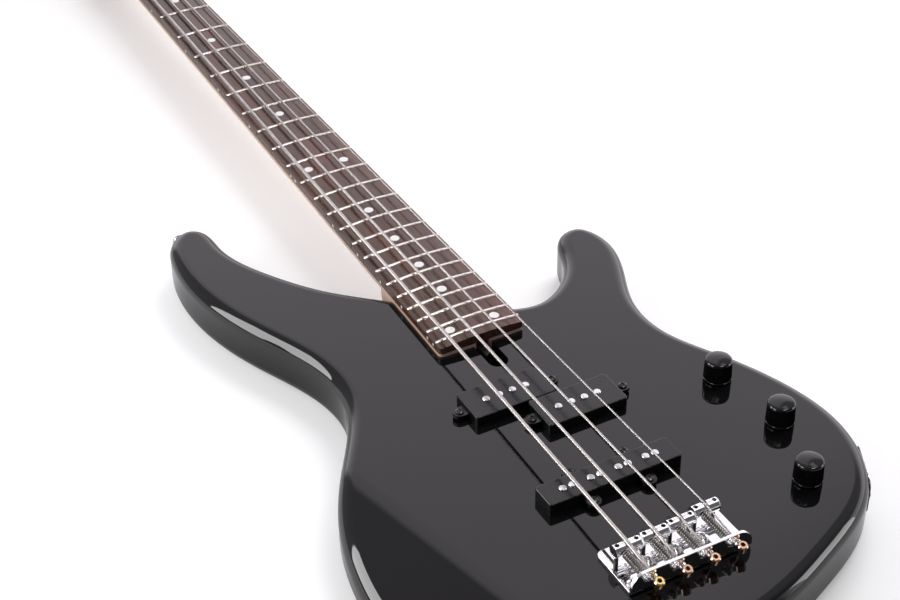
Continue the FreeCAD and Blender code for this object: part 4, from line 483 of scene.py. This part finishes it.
maple, tree, shader = material("satin maple")
cut = masks(tree, wood)
broad = ramp(tree, cut["Figure"], (0.3, (0.60, 0.40, 0.29)), (0.7, (0.70, 0.50, 0.38)))
fine = ramp(tree, cut["Grain"], (0.35, (0.50, 0.31, 0.21)), (0.6, (0.70, 0.50, 0.38)))
link(tree, mixed(tree, 0.4, broad, fine), shader, "Base Color")
link(tree, spread(tree, cut["Figure"], 0.3, 0.42), shader, "Roughness")
link(tree, relief(tree, cut["Grain"], 0.12, 0.0002), shader, "Normal")
dress(maple, "neck")


# Fingerboard, frets and markers
# A dark brown open-pored board glued on the neck, oiled and worn smooth, with pressed-in nickel silver frets.
# Round pearloid dots are let into its face and small ones into its bass edge; the nut is a bone blank.

BOARD_DARK = (0.056, 0.027, 0.018)
BOARD_BROWN = (0.090, 0.044, 0.029)
BOARD_RED = (0.16, 0.048, 0.030)

board, tree, shader = material("oiled dark board")
cut = masks(tree, wood)
broad = ramp(tree, cut["Figure"], (0.3, BOARD_DARK), (0.5, BOARD_BROWN), (0.72, BOARD_RED))
fine = ramp(tree, cut["Grain"], (0.36, (0.030, 0.017, 0.012)), (0.58, (0.120, 0.066, 0.047)))
hole = ramp(tree, cut["Pore"], (0.34, (0.25, 0.22, 0.2)), (0.42, (1.0, 1.0, 1.0)))
link(tree, mixed(tree, 0.8, mixed(tree, 0.5, broad, fine), hole, "MULTIPLY"), shader, "Base Color")
link(tree, spread(tree, cut["Grain"], 0.10, 0.24), shader, "Roughness")
link(tree, relief(tree, cut["Pore"], 0.08, 0.0001), shader, "Normal")
shader.inputs["IOR"].default_value = 1.44
dress(board, "fingerboard")


def clouded(tree, shader, mask, dark, pale, smooth, rough):
    """Colour and roughness that drift together with a mask."""
    link(tree, ramp(tree, mask, (0.3, dark), (0.7, pale)), shader, "Base Color")
    link(tree, spread(tree, mask, smooth, rough), shader, "Roughness")


def metal(name, dark, pale, smooth, rough):
    made, tree, shader = material(name)
    wear = masks(tree, marks)
    clouded(tree, shader, wear["Smudge"], dark, pale, smooth, rough)
    shader.inputs["Metallic"].default_value = 1.0
    return made, tree, shader, wear


fret_wire, tree, shader, wear = metal("fret wire", (0.90, 0.83, 0.78), (0.97, 0.90, 0.85), 0.18, 0.30)
link(tree, relief(tree, wear["Hairline"], 0.05, 0.0001), shader, "Normal")
dress(fret_wire, "frets")

pearl, tree, shader = material("pearloid dots")
clouded(tree, shader, speckle(tree, 420.0, 3.0, 1.8), (0.80, 0.80, 0.78), (0.93, 0.93, 0.92), 0.18, 0.3)
dress(pearl, "position_markers", "side_markers")

bone, tree, shader = material("bone nut")
vein = speckle(tree, 500.0, 4.0)
clouded(tree, shader, vein, (0.74, 0.68, 0.55), (0.84, 0.80, 0.69), 0.3, 0.45)
link(tree, relief(tree, vein, 0.1, 0.0001), shader, "Normal")
dress(bone, "string_nut")


# Truss rod
# A steel bar in a slot under the board; its turning nut shows in the channel at the end of the neck.
# The bar is plain steel with a light machining sheen, the nut is blackened.

def soft_edge(tree, radius):
    return node(tree, "Bevel", samples=4, Radius=radius).outputs["Normal"]


steel, tree, shader, wear = metal("plain steel", (0.36, 0.35, 0.34), (0.52, 0.51, 0.50), 0.24, 0.4)
link(tree, relief(tree, wear["Hairline"], 0.08, 0.0001, Normal=soft_edge(tree, 0.0002)), shader, "Normal")
dress(steel, "truss_rod")

blackened_and_hole_shade, tree, shader, wear = metal("blackened steel", (0.04, 0.04, 0.04), (0.10, 0.10, 0.10), 0.25, 0.4)
link(tree, soft_edge(tree, 0.0002), shader, "Normal")
dress(blackened_and_hole_shade, "truss_rod_nut")


# Neck plate and strap buttons
# Chromed steel: a flat plate let into the back under four countersunk screws, and two turned strap buttons.
# Chrome is a near mirror with wipe marks, hairlines and softly broken edges.

chrome, tree, shader, wear = metal("chrome", (0.88, 0.88, 0.89), (0.95, 0.95, 0.96), 0.02, 0.07)
link(tree, relief(tree, wear["Hairline"], 0.03, 0.0001, Normal=soft_edge(tree, 0.0004)), shader, "Normal")
dress(chrome, "neck_plate", "neck_screws", "strap_buttons")


# Bridge
# A bent chromed plate under five screws carries four barrel saddles on threaded rods through its flange.
# Two small grub screws stand each barrel on the plate, and a coil spring keeps it pushed up the neck.
# The strings' ball ends, one of brass and three of copper, rest against the flange.

SADDLES = {
    "e": (-0.02775, -0.0038), "a": (-0.00925, -0.0030), "d": (0.00925, -0.0019), "g": (0.02775, 0.0007),
}
FLANGE_INSIDE = -0.0265
FLANGE_OUTSIDE = -0.0275
THREAD_SCALE = 630.0
SPRING_SIDE = 0.0032
SPRING_HEIGHT = 0.0493
SADDLE_BACK = 0.0041
SPRING_WIRE = 0.00048
SPRING_RADIUS = 0.00225
SPRING_TURNS = {"e": 11, "a": 11, "d": 12, "g": 13}
BALL_CHANGE = (-0.018, -0.016)
BALL_BRASS = (0.83, 0.60, 0.26)
BALL_COPPER = (0.62, 0.40, 0.28)

dress(chrome, "bridge_plate", "mounting_screws", "saddle_e", "saddle_a", "saddle_d", "saddle_g")
# The grub screws are blackened steel, and their black also stands in as painted shade: it makes them read as
# dark holes in the barrels.
dress(blackened_and_hole_shade, "saddle_height_screws_e", "saddle_height_screws_a", "saddle_height_screws_d",
      "saddle_height_screws_g")


def bands(tree, way, scale):
    place = node(tree, "TexCoord").outputs["Object"]
    made = node(tree, "TexWave", wave_type="BANDS", bands_direction=way, Vector=place, Scale=scale)
    return made.outputs["Fac"]


def step_along(tree, axis, start, end):
    """0 before start and 1 past end, along one axis of the piece."""
    place = node(tree, "SeparateXYZ", Vector=node(tree, "TexCoord").outputs["Object"]).outputs[axis]
    return node(tree, "MapRange", Value=place, From_Min=start, From_Max=end).outputs["Result"]


thread, tree, shader = material("threaded screw")
wear = masks(tree, marks)
bright = ramp(tree, wear["Smudge"], (0.3, (0.62, 0.62, 0.62)), (0.7, (0.78, 0.78, 0.78)))
# The length that runs inside the spring is painted near black: painted shade, so the gaps between the coils
# read dark.
shade_in_spring = ramp(tree, wear["Smudge"], (0.3, (0.03, 0.03, 0.03)), (0.7, (0.07, 0.07, 0.06)))
inside = step_along(tree, "Y", FLANGE_OUTSIDE, FLANGE_INSIDE)
link(tree, mixed(tree, inside, bright, shade_in_spring), shader, "Base Color")
link(tree, spread(tree, wear["Smudge"], 0.12, 0.24), shader, "Roughness")
link(tree, relief(tree, bands(tree, "Y", THREAD_SCALE), 0.5, 0.0003), shader, "Normal")
shader.inputs["Metallic"].default_value = 1.0
dress(thread, "intonation_screw_e", "intonation_screw_a", "intonation_screw_d", "intonation_screw_g")

spring_steel, tree, shader, wear = metal("spring wire", (0.25, 0.24, 0.22), (0.36, 0.34, 0.32), 0.16, 0.28)

for name, (x, y) in SADDLES.items():
    start = Vector((x - SPRING_SIDE, FLANGE_INSIDE, SPRING_HEIGHT))
    end = Vector((x - SPRING_SIDE, y - SADDLE_BACK, SPRING_HEIGHT))
    bpy.ops.object.select_all(action="DESELECT")
    bpy.ops.mesh.primitive_circle_add(vertices=10, radius=SPRING_WIRE, location=start)
    spring = bpy.context.object
    spring.name = "spring_" + name
    bpy.ops.object.mode_set(mode="EDIT")
    bpy.ops.mesh.select_all(action="SELECT")
    bpy.ops.transform.translate(value=(SPRING_RADIUS, SPRING_WIRE, 0.0))
    bpy.ops.object.mode_set(mode="OBJECT")
    coil = spring.modifiers.new("coil", "SCREW")
    coil.axis = "Y"
    coil.iterations = SPRING_TURNS[name]
    coil.screw_offset = (end.y - start.y - 2.0 * SPRING_WIRE) / SPRING_TURNS[name]
    coil.steps = 20
    coil.render_steps = 20
    bpy.ops.object.modifier_apply(modifier="coil")
    bpy.ops.object.transform_apply(location=True, rotation=True, scale=True)
    bpy.ops.object.mode_set(mode="EDIT")
    bpy.ops.mesh.select_all(action="SELECT")
    bpy.ops.mesh.normals_make_consistent(inside=False)
    bpy.ops.object.mode_set(mode="OBJECT")
    bpy.ops.object.shade_smooth()
    spring.data.materials.append(spring_steel)
    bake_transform(spring)
    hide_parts("intonation_springs")

ball, tree, shader = material("ball ends")
wear = masks(tree, marks)
kind = step_along(tree, "X", *BALL_CHANGE)
link(tree, ramp(tree, kind, (0.0, BALL_BRASS), (1.0, BALL_COPPER)), shader, "Base Color")
link(tree, spread(tree, wear["Smudge"], 0.12, 0.3), shader, "Roughness")
link(tree, relief(tree, wear["Hairline"], 0.05, 0.0001, Normal=soft_edge(tree, 0.0003)), shader, "Normal")
shader.inputs["Metallic"].default_value = 1.0
dress(ball, "ball_ends")


# Pickups
# A split pair and a bar, each a moulded black cover over coils of enamelled copper wire.
# Bright steel magnet poles stand a little proud of the covers, and small screws hold their ears.

moulding, tree, shader, wear = dusted("black moulding", (0.004, 0.004, 0.004), (0.02, 0.02, 0.02), 0.2, 0.34)
link(tree, relief(tree, wear["Hairline"], 0.03, 0.0001), shader, "Normal")
dress(moulding, "split_pickup_covers", "bar_pickup_cover")

pole, tree, shader, wear = metal("magnet poles", (0.70, 0.70, 0.70), (0.86, 0.86, 0.86), 0.2, 0.35)
link(tree, relief(tree, wear["Hairline"], 0.1, 0.0001, Normal=soft_edge(tree, 0.0003)), shader, "Normal")
dress(pole, "pickup_poles")

copper, tree, shader = material("enamelled copper")
turns = bands(tree, "Z", 2500.0)
link(tree, ramp(tree, turns, (0.2, (0.30, 0.10, 0.05)), (0.8, (0.55, 0.22, 0.10))), shader, "Base Color")
link(tree, spread(tree, turns, 0.3, 0.45), shader, "Roughness")
shader.inputs["Metallic"].default_value = 0.8
dress(copper, "pickup_coils")

dress(blackened_and_hole_shade, "small_screws", "control_cover_screws")


# Controls
# Three moulded black knobs with fluted sides and a polished domed top, pushed on the potentiometer shafts.
# Behind them, under a black plate in the back, lie the potentiometers, their nuts and the wiring to the jack.

KNOBS = {"knob_1": (0.11104, 0.104999), "knob_2": (0.11952, 0.0515105), "knob_3": (0.102, 0.001064)}
KNOB_FOOT = 0.0386
FLUTES = 60
FLUTE_DEPTH = 0.0004
KNOB_STEPS = (
    (0.0031, 0.0110), (0.0031, 0.0046), (0.0077, 0.0046), (0.0077, 0.0), (0.0085, 0.0), (0.0089, 0.0003),
    (0.0090, 0.0009), (0.0090, 0.0011), (0.00865, 0.0126), (0.0086, 0.0131), (0.0086, 0.0135),
    (0.00845, 0.0141), (0.0081, 0.01462), (0.0076, 0.01497), (0.0069, 0.01522), (0.0058, 0.01548),
    (0.0044, 0.01575), (0.0030, 0.01597), (0.0015, 0.0161),
)
FLUTED_STEPS = (7, 8)

gloss, tree, shader, wear = dusted("polished black knob", (0.006, 0.006, 0.006), (0.03, 0.03, 0.03),
                                   0.04, 0.14)
link(tree, relief(tree, wear["Hairline"], 0.03, 0.0001), shader, "Normal")

for name, (x, y) in KNOBS.items():
    radius, rise = KNOB_STEPS[0]
    bpy.ops.object.select_all(action="DESELECT")
    bpy.ops.mesh.primitive_circle_add(vertices=2 * FLUTES, radius=radius, fill_type="NGON",
                                      location=(x, y, KNOB_FOOT + rise))
    knob = bpy.context.object
    knob.name = name + "_fluted"
    bpy.ops.object.transform_apply(location=True)
    bpy.ops.object.mode_set(mode="EDIT")
    bpy.ops.mesh.select_mode(type="EDGE")
    bpy.ops.mesh.select_all(action="SELECT")
    bpy.ops.mesh.region_to_loop()
    for (before, low), (after, high) in zip(KNOB_STEPS, KNOB_STEPS[1:]):
        bpy.ops.mesh.extrude_edges_move(TRANSFORM_OT_translate={"value": (0.0, 0.0, high - low)})
        bpy.ops.transform.resize(value=(after / before, after / before, 1.0), center_override=(x, y, 0.0))
    bpy.ops.mesh.edge_face_add()
    bpy.ops.object.mode_set(mode="OBJECT")
    for step in FLUTED_STEPS:
        ring = knob.data.vertices[2 * FLUTES * step:2 * FLUTES * (step + 1)]
        for vertex in ring[::2]:
            spoke = Vector((vertex.co.x - x, vertex.co.y - y, 0.0))
            vertex.co -= spoke.normalized() * FLUTE_DEPTH
    bpy.ops.object.mode_set(mode="EDIT")
    bpy.ops.mesh.select_all(action="SELECT")
    bpy.ops.mesh.normals_make_consistent(inside=False)
    bpy.ops.object.mode_set(mode="OBJECT")
    bpy.ops.object.shade_smooth_by_angle(angle=math.radians(30.0))
    knob.data.materials.append(gloss)
    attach(knob, name)
    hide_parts(name)

dress(steel, "knob_1_shaft", "knob_2_shaft", "knob_3_shaft", "potentiometers")
dress(chrome, "bush_nuts", "output_jack")

plate, tree, shader = material("black plate")
wear = masks(tree, marks)
clouded(tree, shader, wear["Smudge"], (0.010, 0.010, 0.010), (0.018, 0.018, 0.018), 0.25, 0.42)
link(tree, relief(tree, speckle(tree, 2500.0, 2.0), 0.06, 0.0001), shader, "Normal")
dress(plate, "control_cover", "jack_plate")

sleeve, tree, shader = material("wire sleeve")
clouded(tree, shader, speckle(tree, 300.0, 3.0), (0.45, 0.42, 0.36), (0.58, 0.55, 0.48), 0.4, 0.55)
dress(sleeve, "control_wiring")


# Tuners
# Four enclosed worm tuners screwed behind the head: cast housings, keys on their worm shafts,
# and slotted posts that come up through press-fitted bushings.

dress(chrome, "tuner_housings", "tuner_bushings", "tuner_key_e", "tuner_key_a", "tuner_key_d", "tuner_key_g",
      "tuner_post_e", "tuner_post_a", "tuner_post_d", "tuner_post_g")


# Strings
# Nickel wound steel strings, each from its ball end through the flange, over its saddle and the nut,
# then twice round its post. The winding is fine enough to read as a dull bright thread.

STRINGS = {"e": (0.00133, -1.5), "a": (0.00108, -0.5), "d": (0.00083, 0.5), "g": (0.00057, 1.5)}
POSTS = {
    "e": (-0.025, 0.9266, -1), "a": (-0.025, 0.9886, -1), "d": (0.025, 0.9886, 1), "g": (0.025, 0.9266, 1),
}
HOLE_SIDE = 0.0022
HOLE_Y = -0.0276
HOLE_Z = 0.0466
TAIL_LENGTH = 0.0022
SADDLE_TOP = 0.0523
NUT_Y = 0.8686
NUT_TOP = 0.0478
NUT_SPACING = 0.0104
BEND_REACH = 0.0016
POST_RADIUS = 0.0045
POST_TOP_TURN = 0.0458
TURN_GAP = 0.0005
TURNS = 2
TURN_STEPS = 48
SADDLE_BEND_STEPS = 8
NUT_BEND_STEPS = 6
MIDDLE_SHARES = (0.04, 0.15)

wound, tree, shader, wear = metal("wound string", (0.43, 0.405, 0.38), (0.55, 0.52, 0.49), 0.16, 0.28)
link(tree, relief(tree, bands(tree, "Y", THREAD_SCALE), 0.4, 0.0002), shader, "Normal")


def eased(before, corner, after, steps):
    """Points of a soft bend at corner, from one straight run into the other."""
    first = corner + (before - corner).normalized() * BEND_REACH
    last = corner + (after - corner).normalized() * BEND_REACH
    shares = [k / steps for k in range(steps + 1)]
    return [first * (1 - t) ** 2 + corner * (2 * t * (1 - t)) + last * t ** 2 for t in shares]


def strand(name, points, radius):
    line = bpy.data.curves.new(name, "CURVE")
    line.dimensions = "3D"
    line.bevel_depth = radius
    line.bevel_resolution = 3
    line.use_fill_caps = True
    run = line.splines.new("POLY")
    run.points.add(len(points) - 1)
    for point, spot in zip(run.points, points):
        point.co = (*spot, 1.0)
    made = bpy.data.objects.new(name, line)
    scene.collection.objects.link(made)
    bpy.ops.object.select_all(action="DESELECT")
    made.select_set(True)
    bpy.context.view_layer.objects.active = made
    bpy.ops.object.convert(target="MESH")
    bpy.ops.object.shade_smooth()
    made.data.materials.append(wound)
    return made


for name, (radius, step) in STRINGS.items():
    x, y = SADDLES[name]
    hole = Vector((x + HOLE_SIDE, HOLE_Y, HOLE_Z))
    rest = Vector((x, y, SADDLE_TOP + radius))
    slope = (rest - hole).normalized()
    tail = hole - slope * TAIL_LENGTH
    over = Vector((step * NUT_SPACING, NUT_Y, NUT_TOP + radius))
    px, py, side = POSTS[name]
    wrap = POST_RADIUS + radius
    away = Vector((px - over.x, py - over.y))
    lean = math.atan2(away.y, away.x) + side * math.asin(wrap / away.length)
    run = math.sqrt(away.length ** 2 - wrap ** 2)
    touch = Vector((over.x + run * math.cos(lean), over.y + run * math.sin(lean), POST_TOP_TURN))
    first = math.atan2(touch.y - py, touch.x - px)
    coil = []
    for k in range(1, TURNS * TURN_STEPS + 1):
        angle = first - side * k * math.tau / TURN_STEPS
        fall = (2 * radius + TURN_GAP) * k / TURN_STEPS
        coil.append(Vector((px + wrap * math.cos(angle), py + wrap * math.sin(angle), touch.z - fall)))
    over_saddle = eased(hole, rest, over, SADDLE_BEND_STEPS)
    over_nut = eased(rest, over, touch, NUT_BEND_STEPS)
    crown = SADDLE_BEND_STEPS // 2
    behind = strand("string_%s_tail" % name, [tail] + over_saddle[:crown + 1], radius)
    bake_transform(behind)
    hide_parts("string_" + name)
    middle = [rest.lerp(over, t) for t in MIDDLE_SHARES]
    course = over_saddle[crown:] + middle + over_nut + [touch] + coil
    speaking = strand("string_%s_length" % name, course, radius)
    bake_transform(speaking)
    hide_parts("string_" + name)
